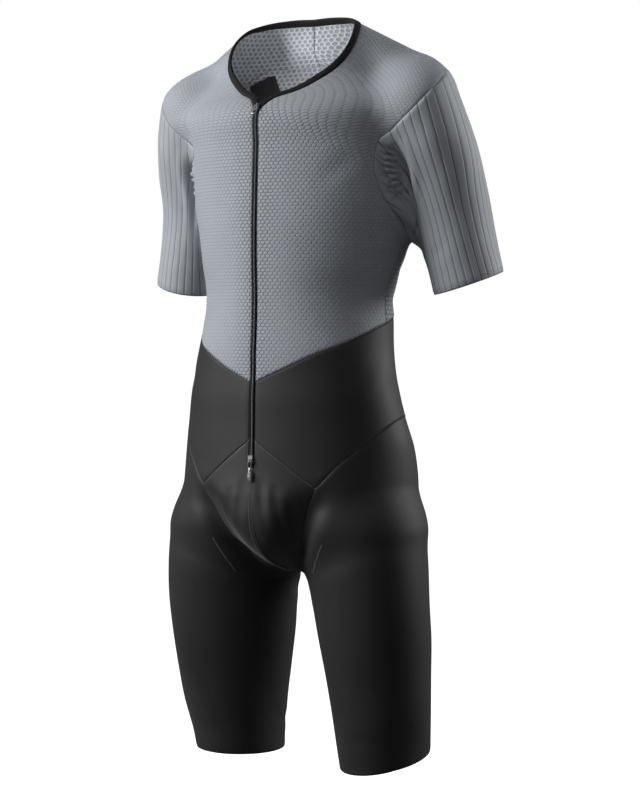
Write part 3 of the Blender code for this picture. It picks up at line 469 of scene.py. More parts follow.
def seam(points, steps, hold_x=False):
    """A smooth seam through places on the form, cut into even steps."""
    knots = np.array(points, dtype=float)
    padded = np.vstack([2 * knots[0] - knots[1], knots, 2 * knots[-1] - knots[-2]])
    fine = []
    for a, b, c, d in zip(padded, padded[1:], padded[2:], padded[3:]):
        for t in np.linspace(0.0, 1.0, 12, endpoint=False):
            bend = 2 * a - 5 * b + 4 * c - d
            turn = 3 * b - a - 3 * c + d
            fine.append(b + 0.5 * ((c - a) * t + bend * t**2 + turn * t**3))
    fine.append(knots[-1])
    fine = onto(fine, hold_x=hold_x)
    length = np.concatenate([[0.0], np.cumsum(np.linalg.norm(np.diff(fine, axis=0), axis=1))])
    even = np.linspace(0.0, length[-1], steps + 1)
    return onto(np.stack([np.interp(even, length, fine[:, k]) for k in range(3)], axis=1), hold_x=hold_x)

# %% [markdown]
# ## Seams and panels
# A garment is drawn by its seams. Each seam is a smooth line through a few places on the form,
# and a panel is a grid filled between four of them, so neighbours share their edges exactly.

# %% Seam lines
def mirrored(points):
    """The same places on the wearer's right half."""
    return np.array(points) * (-1.0, 1.0, 1.0)


def meet(edge, first=None, last=None):
    """Ends a seam exactly on its neighbours' corners."""
    edge = np.array(edge)
    if first is not None:
        edge[0] = first
    if last is not None:
        edge[-1] = last
    return edge


def armhole_loop():
    """One place on the armhole for each rib, from the top round the front."""
    before = [(row[0] - 360.0,) + row[1:] for row in ARMHOLE[-3:-1]]
    after = [(row[0] + 360.0,) + row[1:] for row in ARMHOLE[1:3]]
    table = before + list(ARMHOLE) + after
    turns = -np.arange(RIB_COUNT) * 360.0 / RIB_COUNT
    return onto(np.stack([read(table, ARMHOLE_COLUMNS, axis, turns) for axis in "xyz"], axis=1))


def rib_places():
    """Where the points of every rib lie, counted in ribs round the sleeve."""
    return (np.arange(RIB_COUNT)[:, None] + np.array(RIB_SHAPE)[:, 0]).ravel()


def cuff_loop():
    """The cuff's points, square to the arm."""
    axis = np.array(CUFF_AXIS) / np.linalg.norm(CUFF_AXIS)
    turns = -2.0 * math.pi * rib_places() / RIB_COUNT
    level = np.stack([np.cos(turns), np.sin(turns), np.zeros_like(turns)], axis=1)
    flat = level - (level @ axis)[:, None] * axis
    flat /= np.linalg.norm(flat, axis=1, keepdims=True)
    return np.array(CUFF_CENTRE) + CUFF_RADIUS * flat


def find_seams():
    """Every seam line of the left half, each shared by the pieces on both sides of it."""
    half_zip = (ZIP_WIDTH + SEAM_GAP) / 2.0
    heights = (NECK_SEAM[0][2], WAIST_FRONT, CROTCH_SEAM_FRONT, ZIP_FOOT)
    upright = [onto([(half_zip, -0.11, z) for z in np.linspace(*pair, 8)], hold_x=True) for pair in zip(heights, heights[1:])]
    lines = {"armhole": armhole_loop(), "cuff": cuff_loop()}
    for name, places in zip(("zip_chest", "zip_waist", "zip_foot"), upright):
        lines[name] = seam(places, STEPS[name], hold_x=True)
    for name, places in (("crotch_centre", CROTCH_CENTRE), ("seat", SEAT_CENTRE)):
        lines[name] = seam(places, STEPS[name], hold_x=True)
    lines["back_neck"] = seam((NECK_SEAM[-1], YOKE_SEAM[0]), STEPS["back_neck"], hold_x=True)
    side = onto(SIDE_SEAM[-1])
    hip = onto(CROTCH_TOP_SEAM[-1])
    crotch_side = onto(LEG_SEAM_FRONT[-1])
    armpit = lines["armhole"][ARMPIT_RIB]
    shoulder_end = lines["armhole"][YOKE_RIB]
    curves = (
        ("neck", NECK_SEAM, lines["zip_chest"][0], lines["back_neck"][0]),
        ("yoke", YOKE_SEAM + (tuple(shoulder_end),), lines["back_neck"][-1], shoulder_end),
        ("side", (tuple(armpit),) + SIDE_SEAM, armpit, side),
        ("waist_front", WAIST_SEAM_FRONT, lines["zip_chest"][-1], side),
        ("waist_back", WAIST_SEAM_BACK, side, lines["seat"][0]),
        ("crotch_top", CROTCH_TOP_SEAM, lines["zip_waist"][-1], hip),
        ("leg_front", LEG_SEAM_FRONT, hip, crotch_side),
        ("leg_back", LEG_SEAM_BACK, hip, crotch_side),
        ("crotch_joint", (CROTCH_CENTRE[-1], LEG_SEAM_FRONT[-1]), lines["seat"][-1], crotch_side),
    )
    for name, places, first, last in curves:
        lines[name] = meet(seam(places, STEPS[name]), first, last)
    return lines


def chain_of(*pieces):
    """Joins seams end to end, each shared corner once."""
    whole = [pieces[0]]
    for piece in pieces[1:]:
        whole.append(piece[1:] if np.allclose(whole[-1][-1], piece[0], atol=1e-6) else piece)
    return np.vstack(whole)


def relax(grid, surface, passes):
    """Evens the inner points of a panel without folding it, and keeps them on the form."""
    for _ in range(passes):
        up, down = grid[2:, 1:-1], grid[:-2, 1:-1]
        left, right = grid[1:-1, :-2], grid[1:-1, 2:]
        along = (right - left) / 2.0
        across = (up - down) / 2.0
        by_column = (across**2).sum(axis=-1, keepdims=True)
        by_row = (along**2).sum(axis=-1, keepdims=True)
        skew = (along * across).sum(axis=-1, keepdims=True)
        twist = (grid[2:, 2:] - grid[2:, :-2] - grid[:-2, 2:] + grid[:-2, :-2]) / 4.0
        mean = by_column * (left + right) + by_row * (up + down) - 2.0 * skew * twist
        grid[1:-1, 1:-1] = onto(mean / (2.0 * (by_column + by_row)), surface, passes=2)
    return grid


def fill(foot, top, left, right, surface=form, passes=20):
    """Fills four seams with a grid of points on the form, rows from foot to top."""
    u = np.linspace(0.0, 1.0, len(foot))[None, :, None]
    v = np.linspace(0.0, 1.0, len(left))[:, None, None]
    grid = (1.0 - v) * foot[None] + v * top[None] + (1.0 - u) * left[:, None] + u * right[:, None]
    grid -= (1.0 - v) * ((1.0 - u) * foot[0] + u * foot[-1]) + v * ((1.0 - u) * top[0] + u * top[-1])
    grid[0], grid[-1], grid[:, 0], grid[:, -1] = foot, top, left, right
    grid[1:-1, 1:-1] = onto(grid[1:-1, 1:-1], surface)
    return relax(grid, surface, passes)


def tube(top, foot, rows, surface, follow, passes=12):
    """Fills two loops with rings of points; follow says how soon each column meets the form."""
    v = np.linspace(0.0, 1.0, rows + 1)[:, None, None]
    grid = (1.0 - v) * top[None] + v * foot[None]
    for turn in range(passes):
        left = np.roll(grid, 1, axis=1)[1:-1]
        right = np.roll(grid, -1, axis=1)[1:-1]
        even = (grid[:-2] + grid[2:] + left + right) / 4.0 if turn else grid[1:-1]
        grid[1:-1] = even + follow[1:-1, :, None] * (onto(even, surface, passes=3) - even)
    return grid


# %% Coarse panels, as the CAD part cuts them
def front_grid(lines):
    """Front half, from the zip over the shoulder to the yoke seam."""
    inner = chain_of(lines["zip_chest"][::-1], lines["neck"], lines["back_neck"])
    over = np.vstack([lines["armhole"][ARMPIT_RIB::-1], lines["armhole"][:YOKE_RIB - 1:-1]])
    outer = chain_of(lines["side"][::-1], over)
    return fill(lines["waist_front"], lines["yoke"], inner, outer)


def back_grid(lines):
    """Back in one piece, from side seam to side seam."""
    foot = chain_of(mirrored(lines["waist_back"]), lines["waist_back"][::-1])
    top = chain_of(mirrored(lines["yoke"])[::-1], lines["yoke"])
    left = chain_of(lines["side"][::-1], lines["armhole"][ARMPIT_RIB:YOKE_RIB + 1])
    return fill(foot, top, mirrored(left), left)


def waist_grid(lines):
    """Black side piece, from the zip round the hip to the centre back."""
    foot = chain_of(lines["crotch_top"], lines["leg_back"])
    top = chain_of(lines["waist_front"], lines["waist_back"])
    seat = chain_of(lines["crotch_joint"][::-1], lines["seat"][::-1])
    return fill(foot, top, lines["zip_waist"][::-1], seat)


def crotch_grid(lines):
    """Crotch piece, between the zip's foot and the leg seam."""
    centre = chain_of(lines["crotch_centre"][::-1], lines["zip_foot"][::-1])
    return fill(lines["crotch_joint"], lines["crotch_top"], centre, lines["leg_front"][::-1])


def sleeve_grid(lines):
    """Left sleeve, from the armhole to the cuff, with the folds under the arm."""
    places = rib_places()
    corner = places.astype(int)
    share = (places - corner)[:, None]
    loop = lines["armhole"]
    top = (1.0 - share) * loop[corner] + share * loop[(corner + 1) % RIB_COUNT]
    down = np.linspace(0.0, 1.0, STEPS["sleeve"] + 1)
    settle = np.clip(down / SLEEVE_SETTLES, 0.0, 1.0)
    settle = (settle**2 * (3.0 - 2.0 * settle))[:, None]
    on_arm = np.exp(-((sleeve_form(top) / SLEEVE_CLOSE) ** 2))[None]
    grid = tube(top, lines["cuff"], STEPS["sleeve"], sleeve_form, np.maximum(settle, on_arm))
    turns = -360.0 * places / RIB_COUNT
    lift = np.zeros(grid.shape[:2])
    for turn, width, height, start, end in SLEEVE_FOLDS:
        across = np.exp(-(((turns - turn) / width) ** 2))
        length = np.clip((down - start) / (end - start), 0.0, 1.0)
        lift += height * across[None] * (np.sin(math.pi * length) ** 2)[:, None]
    return grid + lift[..., None] * outward(sleeve_form, grid)


def leg_grid(lines, hem):
    """One leg as on the left, from the leg seam to its own hem."""
    top = chain_of(lines["leg_front"], lines["leg_back"][::-1])[:-1]
    columns = len(top)
    even = np.arange(columns) / columns
    by_seam = np.interp(np.arange(columns), (0, STEPS["leg_front"], columns), (0.0, LEG_FRONT_SHARE, 1.0))
    turns = LEG_HEM_START - math.pi * (even + by_seam)
    height, outward_rise, backward_rise = hem[1:]
    x = LEG_HEM_RADIUS * np.cos(turns)
    y = LEG_HEM_RADIUS * np.sin(turns)
    z = height + outward_rise * x + backward_rise * y
    centre_x = read(LEG, LEG_COLUMNS, "x", height)
    centre_y = read(LEG, LEG_COLUMNS, "y", height)
    foot = np.stack([centre_x + x, centre_y + y, z], axis=1)
    follow = np.ones((STEPS["leg"] + 1, columns))
    return tube(top, foot, STEPS["leg"], leg_form, follow)


# %% Work out the seams
seams = find_seams()
print("seams", len(seams), "armhole points", len(seams["armhole"]))

# %% [markdown]
# ## From coarse panels to fine cloth
# The coarse grids have a point every 2 cm. Smooth curves through them give one every 3 mm,
# and each new point is pushed onto the form again. Corners of the cut, such as the one where
# the zip meets the neck, stay sharp because the curves stop there and start anew.

# %% Finer grids
def finer(grid, times, axis, corners=()):
    """More points along one axis, on smooth curves between the corners."""
    grid = np.moveaxis(grid, axis, 0)
    stops = [0, *corners, len(grid) - 1]
    share = (np.arange(times) / times)[None, :, None, None]
    runs = []
    for start, end in zip(stops, stops[1:]):
        run = grid[start:end + 1]
        padded = np.concatenate([2 * run[:1] - run[1:2], run, 2 * run[-1:] - run[-2:-1]])
        a, b, c, d = (padded[k:k + len(run) - 1][:, None] for k in range(4))
        bend = 2 * a - 5 * b + 4 * c - d
        turn = 3 * b - a - 3 * c + d
        fine = b + 0.5 * ((c - a) * share + bend * share**2 + turn * share**3)
        runs.append(fine.reshape(-1, *grid.shape[1:]))
    runs.append(grid[-1:])
    return np.moveaxis(np.concatenate(runs), 0, axis)


def cloth_normals(points, surface, closed=False):
    """Unit directions out of the cloth, from its own slope."""
    if closed:
        ring = np.concatenate([points[:, -2:-1], points, points[:, 1:2]], axis=1)
        across = (ring[:, 2:] - ring[:, :-2])
    else:
        across = np.gradient(points, axis=1)
    normals = np.cross(across, np.gradient(points, axis=0))
    normals /= np.maximum(np.linalg.norm(normals, axis=-1, keepdims=True), 1e-12)
    own = outward(surface, points)
    return normals * np.where((normals * own).sum(axis=-1, keepdims=True) < 0.0, -1.0, 1.0)


def steps_along(points, axis):
    """Running length along one axis of a grid."""
    moved = np.linalg.norm(np.diff(points, axis=axis), axis=-1)
    pad = [(0, 0), (0, 0)]
    pad[axis] = (1, 0)
    return np.pad(np.cumsum(moved, axis=axis), pad)


# %% [markdown]
# ## Creases
# Stretch cloth on a body shows few creases: a bunch in front of each armpit, soft drags at
# the crotch, the waist and the backs of the knees. Each is a shallow trough with a low ridge
# on both sides, laid along a curve through three places and fading out at both ends. They
# are uneven in length and depth, as real ones are.

# %% Crease table
CREASE_COLUMNS = ("start", "over", "end", "width", "depth")
ARMPIT_CREASES = (
    ((0.1400, -0.043, -0.098), (0.152, -0.036, -0.104), (0.168, -0.020, -0.116), 0.0018, 0.0026),
    ((0.1400, -0.043, -0.107), (0.152, -0.034, -0.112), (0.168, -0.018, -0.122), 0.0019, 0.0034),
    ((0.1404, -0.042, -0.116), (0.152, -0.032, -0.120), (0.168, -0.016, -0.128), 0.0020, 0.0040),
    ((0.1412, -0.041, -0.126), (0.153, -0.029, -0.128), (0.167, -0.013, -0.132), 0.0020, 0.0042),
    ((0.1422, -0.039, -0.136), (0.154, -0.026, -0.136), (0.166, -0.011, -0.137), 0.0020, 0.0040),
    ((0.1434, -0.037, -0.147), (0.154, -0.022, -0.145), (0.166, -0.008, -0.142), 0.0020, 0.0036),
    ((0.1450, -0.033, -0.158), (0.155, -0.018, -0.153), (0.166, -0.004, -0.148), 0.0022, 0.0032),
    ((0.1470, -0.028, -0.169), (0.157, -0.013, -0.163), (0.166, 0.001, -0.156), 0.0022, 0.0028),
    ((0.1600, -0.034, -0.100), (0.1660, -0.014, -0.130), (0.1640, 0.000, -0.166), 0.0080, 0.0090),
    ((0.150, 0.070, -0.150), (0.160, 0.062, -0.156), (0.172, 0.050, -0.160), 0.0022, 0.0036),
    ((0.149, 0.068, -0.166), (0.160, 0.058, -0.169), (0.172, 0.046, -0.171), 0.0022, 0.0040),
    ((0.149, 0.064, -0.180), (0.160, 0.052, -0.181), (0.172, 0.040, -0.182), 0.0022, 0.0038),
    ((0.149, 0.058, -0.196), (0.160, 0.046, -0.194), (0.172, 0.034, -0.192), 0.0024, 0.0034),
)
BODY_CREASES = (
    ((0.146, -0.036, -0.186), (0.142, -0.050, -0.176), (0.135, -0.064, -0.168), 0.0050, 0.0010),
    ((0.149, -0.020, -0.204), (0.144, -0.042, -0.202), (0.135, -0.060, -0.200), 0.0060, 0.0010),
    ((0.137, 0.030, -0.250), (0.120, 0.062, -0.262), (0.086, 0.088, -0.268), 0.0090, 0.0012),
    ((0.133, 0.010, -0.292), (0.118, 0.054, -0.300), (0.078, 0.082, -0.306), 0.0080, 0.0014),
    ((0.134, -0.010, -0.318), (0.126, -0.046, -0.312), (0.108, -0.070, -0.300), 0.0080, 0.0008),
    ((0.120, -0.066, -0.336), (0.100, -0.082, -0.318), (0.074, -0.092, -0.306), 0.0090, 0.0006),
    ((0.052, 0.100, -0.250), (0.020, 0.106, -0.262), (-0.030, 0.104, -0.258), 0.0090, 0.0010),
    ((0.120, -0.052, -0.110), (0.106, -0.074, -0.130), (0.080, -0.090, -0.150), 0.0110, 0.0007),
)
HIP_CREASES = (
    ((0.148, -0.020, -0.372), (0.140, -0.052, -0.390), (0.112, -0.080, -0.412), 0.0100, 0.0007),
    ((0.158, 0.010, -0.430), (0.146, 0.062, -0.420), (0.110, 0.090, -0.404), 0.0100, 0.0010),
    ((0.014, -0.113, -0.522), (0.018, -0.112, -0.562), (0.028, -0.092, -0.612), 0.0060, 0.0014),
    ((0.034, -0.110, -0.534), (0.038, -0.104, -0.578), (0.036, -0.078, -0.622), 0.0070, 0.0016),
    ((0.052, -0.106, -0.548), (0.052, -0.094, -0.586), (0.040, -0.066, -0.627), 0.0060, 0.0012),
    ((0.020, 0.122, -0.540), (0.050, 0.122, -0.572), (0.086, 0.104, -0.590), 0.0100, 0.0018),
    ((0.012, 0.100, -0.606), (0.040, 0.104, -0.612), (0.078, 0.090, -0.616), 0.0080, 0.0018),
)
LEG_CREASES = (
    ((0.028, -0.046, -0.652), (0.048, -0.072, -0.664), (0.082, -0.082, -0.656), 0.0060, 0.0012),
    ((0.026, -0.026, -0.672), (0.044, -0.056, -0.690), (0.074, -0.072, -0.690), 0.0070, 0.0011),
    ((0.024, 0.010, -0.664), (0.030, 0.034, -0.676), (0.046, 0.060, -0.676), 0.0070, 0.0014),
    ((0.060, 0.080, -0.660), (0.100, 0.086, -0.668), (0.140, 0.072, -0.650), 0.0090, 0.0014),
    ((0.058, 0.066, -0.792), (0.098, 0.082, -0.800), (0.140, 0.070, -0.790), 0.0080, 0.0016),
    ((0.064, 0.066, -0.822), (0.104, 0.084, -0.832), (0.136, 0.074, -0.820), 0.0070, 0.0014),
    ((0.060, 0.020, -0.850), (0.060, 0.050, -0.858), (0.084, 0.078, -0.850), 0.0070, 0.0010),
    ((0.150, -0.030, -0.872), (0.120, -0.042, -0.866), (0.090, -0.032, -0.872), 0.0090, 0.0006),
)
SLEEVE_CREASES = (
    ((0.206, 0.102, -0.150), (0.190, 0.106, -0.170), (0.168, 0.092, -0.190), 0.0080, 0.0016),
    ((0.216, 0.104, -0.186), (0.198, 0.106, -0.204), (0.178, 0.092, -0.216), 0.0080, 0.0014),
    ((0.176, 0.020, -0.196), (0.172, 0.040, -0.212), (0.176, 0.064, -0.220), 0.0070, 0.0016),
    ((0.168, 0.000, -0.176), (0.176, -0.004, -0.210), (0.190, 0.012, -0.244), 0.0070, 0.0012),
    ((0.222, 0.010, -0.226), (0.204, 0.008, -0.236), (0.188, 0.020, -0.250), 0.0080, 0.0008),
)
CURVE_SAMPLES = 9
RIDGE_PLACE = 1.9
RIDGE_SHARE = 0.4
SEWN_ROWS = 4.0


def crease_lift(points, rows):
    """How far each point of the cloth rises or sinks along the creases."""
    lift = np.zeros(points.shape[:-1])
    for start, over, end, width, depth in rows:
        t = np.linspace(0.0, 1.0, CURVE_SAMPLES)[:, None]
        middle = 2.0 * np.array(over) - 0.5 * (np.array(start) + np.array(end))
        curve = (1 - t) ** 2 * np.array(start) + 2 * t * (1 - t) * middle + t**2 * np.array(end)
        if depth > width:
            cloth = points.reshape(-1, 3)
            gaps = np.linalg.norm(cloth[None] - curve[:, None], axis=-1)
            curve = cloth[gaps.argmin(axis=1)]
        nearest = np.full(lift.shape, 1.0)
        share = np.zeros(lift.shape)
        for k, (a, b) in enumerate(zip(curve, curve[1:])):
            run = b - a
            along = np.clip(((points - a) @ run) / (run @ run), 0.0, 1.0)
            gap = np.linalg.norm(points - a - along[..., None] * run, axis=-1)
            closer = gap < nearest
            nearest = np.where(closer, gap, nearest)
            share = np.where(closer, (k + along) / (CURVE_SAMPLES - 1), share)
        trough = np.exp(-((nearest / width) ** 2))
        ridge = np.exp(-((nearest / width - RIDGE_PLACE) ** 2))
        amount = depth * np.sin(math.pi * share) ** 0.8
        if depth > width:
            amount *= np.clip((np.arange(len(points)) - 1.0) / SEWN_ROWS, 0.0, 1.0)[:, None]
        lift += amount * (RIDGE_SHARE * ridge - trough)
    return lift


def both_sides(rows):
    """A crease table with its rows repeated on the right half, a little shorter and softer."""
    turned = []
    for start, over, end, width, depth in rows:
        places = [(-x, y, z - 0.004) for x, y, z in (start, over, end)]
        turned.append((*places, 1.1 * width, 0.85 * depth))
    return rows + tuple(turned)


print("creases", sum(len(rows) for rows in (ARMPIT_CREASES, BODY_CREASES, HIP_CREASES, LEG_CREASES, SLEEVE_CREASES)))

# %% [markdown]
# ## Laying cloth
# A flat grid is made with one operator, and its points are then moved onto the worked-out
# places, the way cloth is laid on a form. Its map of real lengths goes along, so that a knit
# drawn on the map has its true scale. Solidify gives the wall, inward from the outer face.

# %% Lay a sheet of cloth
SHOWN_WALL = 0.0010


def lay(name, points, normals, lengths, closed=False, wall=SHOWN_WALL, body="suit"):
    """A fine sheet of cloth on its points, with a map in metres."""
    rows, columns = points.shape[:2]
    cloth = bmesh.new()
    bmesh.ops.create_grid(cloth, x_segments=columns - 1, y_segments=rows - 1, size=0.5)
    map_layer = cloth.loops.layers.uv.new("lengths")
    place = {}
    for vertex in cloth.verts:
        column = round((vertex.co.x + 0.5) * (columns - 1))
        row = round((vertex.co.y + 0.5) * (rows - 1))
        place[vertex.index] = (row, column)
    for vertex in cloth.verts:
        vertex.co = points[place[vertex.index]]
    for face in cloth.faces:
        for corner in face.loops:
            corner[map_layer].uv = lengths[place[corner.vert.index]]
    if closed:
        bmesh.ops.remove_doubles(cloth, verts=cloth.verts[:], dist=1e-6)
    cloth.normal_update()
    middle = cloth.faces[:][len(cloth.faces) // 2]
    row, column = rows // 2, columns // 2
    gaps = np.linalg.norm(points - np.array(middle.calc_center_median()), axis=-1)
    nearest = np.unravel_index(gaps.argmin(), gaps.shape)
    if middle.normal.dot(Vector(normals[nearest])) < 0.0:
        bmesh.ops.reverse_faces(cloth, faces=cloth.faces[:])
    mesh = bpy.data.meshes.new(name)
    cloth.to_mesh(mesh)
    cloth.free()
    mesh.shade_smooth()
    piece = bpy.data.objects.new(name, mesh)
    bpy.context.scene.collection.objects.link(piece)
    if wall:
        shell = piece.modifiers.new("Wall", "SOLIDIFY")
        shell.thickness = wall
        shell.offset = -1.0
    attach(piece, body)
    return piece


# %% Seam valleys
SEAM_DIP = 0.0006


def seam_dip(shape, closed=False):
    """Cloth sinks a little at its sewn edges."""
    dip = np.zeros(shape)
    for k, share in enumerate((1.0, 0.35)):
        dip[k] = dip[-1 - k] = np.maximum(dip[k], share)
        if not closed:
            dip[:, k] = np.maximum(dip[:, k], share)
            dip[:, -1 - k] = np.maximum(dip[:, -1 - k], share)
    return -SEAM_DIP * dip

# %% [markdown]
# ## Knits
# The grey top is a stretch mesh knitted in a honeycomb. Pixels of an image would blur close
# up, so the honeycomb is worked out by nodes: two offset lattices of centres, the nearer one
# for each point, and the distance to that cell's edge. It drives the bump, and painted shade
# that darkens the sunken parts of the knit.

# %% Node helpers
def new_material(name, roughness, sheen=0.0, metallic=0.0):
    """A material with its own shader, ready for nodes."""
    material = bpy.data.materials.new(name)
    material.use_nodes = True
    shader = material.node_tree.nodes["Principled BSDF"]
    shader.inputs["Roughness"].default_value = roughness
    shader.inputs["Metallic"].default_value = metallic
    shader.inputs["Sheen Weight"].default_value = sheen
    shader.inputs["Sheen Roughness"].default_value = 0.45
    return material, material.node_tree, shader


def socket(tree, target, value):
    """Puts a number or a link into a socket."""
    if hasattr(value, "links"):
        tree.links.new(value, target)
    else:
        target.default_value = value


def sum_of(tree, operation, first, second=0.0, third=0.0):
    """One Math node."""
    node = tree.nodes.new("ShaderNodeMath")
    node.operation = operation
    for k, value in enumerate((first, second, third)):
        socket(tree, node.inputs[k], value)
    return node.outputs[0]


def vector_of(tree, operation, first, second=(0.0, 0.0, 0.0), third=(0.0, 0.0, 0.0), out="Vector"):
    """One Vector Math node."""
    node = tree.nodes.new("ShaderNodeVectorMath")
    node.operation = operation
    for k, value in enumerate((first, second, third)):
        if k < len(node.inputs):
            socket(tree, node.inputs[k], value)
    return node.outputs[out]


def noise_of(tree, place, scale, detail=2.0):
    """Soft noise from 0 to 1."""
    node = tree.nodes.new("ShaderNodeTexNoise")
    node.inputs["Scale"].default_value = scale
    node.inputs["Detail"].default_value = detail
    tree.links.new(place, node.inputs["Vector"])
    return node.outputs["Fac"]


def ramp_of(tree, value, stops):
    """A colour ramp with stops of place and colour."""
    node = tree.nodes.new("ShaderNodeValToRGB")
    while len(node.color_ramp.elements) < len(stops):
        node.color_ramp.elements.new(0.5)
    for element, (position, colour) in zip(node.color_ramp.elements, stops):
        element.position = position
        element.color = (*colour, 1.0)
    tree.links.new(value, node.inputs["Fac"])
    return node.outputs["Color"]


def range_of(tree, value, low, high, first, last):
    """One number range turned into another, with soft ends."""
    node = tree.nodes.new("ShaderNodeMapRange")
    node.interpolation_type = "SMOOTHSTEP"
    for k, number in enumerate((value, low, high, first, last)):
        socket(tree, node.inputs[k], number)
    return node.outputs[0]


def tint_of(tree, first, second, share, blend="MULTIPLY"):
    """Mixes two colours."""
    node = tree.nodes.new("ShaderNodeMix")
    node.data_type = "RGBA"
    node.blend_type = blend
    socket(tree, node.inputs["Factor"], share)
    for target, value in ((node.inputs[6], first), (node.inputs[7], second)):
        socket(tree, target, value if hasattr(value, "links") else (*value, 1.0))
    return node.outputs[2]


def bump_of(tree, height, distance, strength, under=None):
    """One layer of bump, on top of another if given."""
    node = tree.nodes.new("ShaderNodeBump")
    node.inputs["Distance"].default_value = distance
    socket(tree, node.inputs["Strength"], strength)
    tree.links.new(height, node.inputs["Height"])
    if under is not None:
        tree.links.new(under, node.inputs["Normal"])
    return node.outputs[0]


def cloth_map(tree):
    """The cloth's own map, in metres."""
    node = tree.nodes.new("ShaderNodeUVMap")
    node.uv_map = "lengths"
    return node.outputs["UV"]


def object_place(tree):
    """Places in the part's own frame, in metres."""
    return tree.nodes.new("ShaderNodeTexCoord").outputs["Object"]


# %% Honeycomb and knit patterns
HALF_CELL = (0.5, 0.8660254, 0.0)


def honeycomb(tree, place, cell_width, row_height):
    """Distance from the nearest cell's edge, 0 on the edge and 0.5 in the middle."""
    scale = (1.0 / cell_width, HALF_CELL[1] / row_height, 0.0)
    spread = vector_of(tree, "MULTIPLY", place, scale)
    low = tuple(-value for value in HALF_CELL[:2]) + (-1.0,)
    high = HALF_CELL[:2] + (1.0,)
    first = vector_of(tree, "WRAP", spread, high, low)
    second = vector_of(tree, "WRAP", vector_of(tree, "ADD", spread, HALF_CELL), high, low)
    sizes = [vector_of(tree, "DOT_PRODUCT", item, item, out="Value") for item in (first, second)]
    nearer = sum_of(tree, "LESS_THAN", sizes[0], sizes[1])
    pick = tree.nodes.new("ShaderNodeMix")
    pick.data_type = "VECTOR"
    socket(tree, pick.inputs["Factor"], nearer)
    tree.links.new(second, pick.inputs[4])
    tree.links.new(first, pick.inputs[5])
    away = vector_of(tree, "ABSOLUTE", pick.outputs[1])
    split = tree.nodes.new("ShaderNodeSeparateXYZ")
    tree.links.new(away, split.inputs[0])
    slant = vector_of(tree, "DOT_PRODUCT", away, HALF_CELL, out="Value")
    return sum_of(tree, "SUBTRACT", 0.5, sum_of(tree, "MAXIMUM", slant, split.outputs[0]))


def knit(tree, place, wale, course):
    """Fine stitches of a plain knit, as a height from 0 to 1."""
    split = tree.nodes.new("ShaderNodeSeparateXYZ")
    tree.links.new(place, split.inputs[0])
    across = sum_of(tree, "SINE", sum_of(tree, "MULTIPLY", split.outputs[0], 2.0 * math.pi / wale))
    lean = sum_of(tree, "MULTIPLY", sum_of(tree, "ABSOLUTE", across), 1.4)
    up = sum_of(tree, "MULTIPLY_ADD", split.outputs[1], 2.0 * math.pi / course, lean)
    loops = sum_of(tree, "MULTIPLY", sum_of(tree, "SINE", up), sum_of(tree, "ABSOLUTE", across))
    return sum_of(tree, "MULTIPLY_ADD", loops, 0.5, 0.5)


# %% Grey mesh
# Yarn colour of the cells, and a darker colour painted as shade in the sunken lines between them
MESH_LIGHT = (0.335, 0.358, 0.392)
MESH_GROOVE_SHADE = (0.165, 0.178, 0.200)


def mesh_cloth(name, cell_width, row_height, groove_shade, rise):
    """The honeycomb mesh: raised cells between sunken threads, with painted shade in the sunken lines."""
    material, tree, shader = new_material(name, 0.72, sheen=0.12)
    place = cloth_map(tree)
    edge = honeycomb(tree, place, cell_width, row_height)
    cell = range_of(tree, edge, 0.03, 0.20, 0.0, 1.0)
    relief = tree.nodes.new("ShaderNodeAttribute")
    relief.attribute_name = "relief"
    strong = relief.outputs["Fac"]
    cloud = noise_of(tree, place, 14.0)
    fine = noise_of(tree, place, 900.0)
    stitches = knit(tree, place, 0.0011, 0.0013)
    base = ramp_of(tree, cell, ((0.0, MESH_GROOVE_SHADE), (1.0, MESH_LIGHT)))
    # Painted shade: the sunken lines between cells are darkened, more where the relief is strong
    deep = sum_of(tree, "MULTIPLY", strong, groove_shade)
    colour = tint_of(tree, MESH_LIGHT, base, deep, blend="MIX")
    mottled = ramp_of(tree, cloud, ((0.3, (0.93, 0.93, 0.94)), (0.7, (1.0, 1.0, 1.0))))
    colour = tint_of(tree, colour, mottled, 1.0)
    grain = ramp_of(tree, fine, ((0.3, (0.90, 0.90, 0.91)), (0.7, (1.0, 1.0, 1.0))))
    colour = tint_of(tree, colour, grain, 0.6)
    tree.links.new(colour, shader.inputs["Base Color"])
    first = bump_of(tree, stitches, 0.00010, 0.35)
    second = bump_of(tree, cell, rise, strong, under=first)
    tree.links.new(second, shader.inputs["Normal"])
    tree.links.new(range_of(tree, cell, 0.0, 1.0, 0.82, 0.68), shader.inputs["Roughness"])
    return material


mesh_front = mesh_cloth("grey_mesh", 0.0070, 0.0044, 0.50, 0.00085)
mesh_back = mesh_cloth("grey_mesh_open", 0.0092, 0.0058, 0.62, 0.00095)


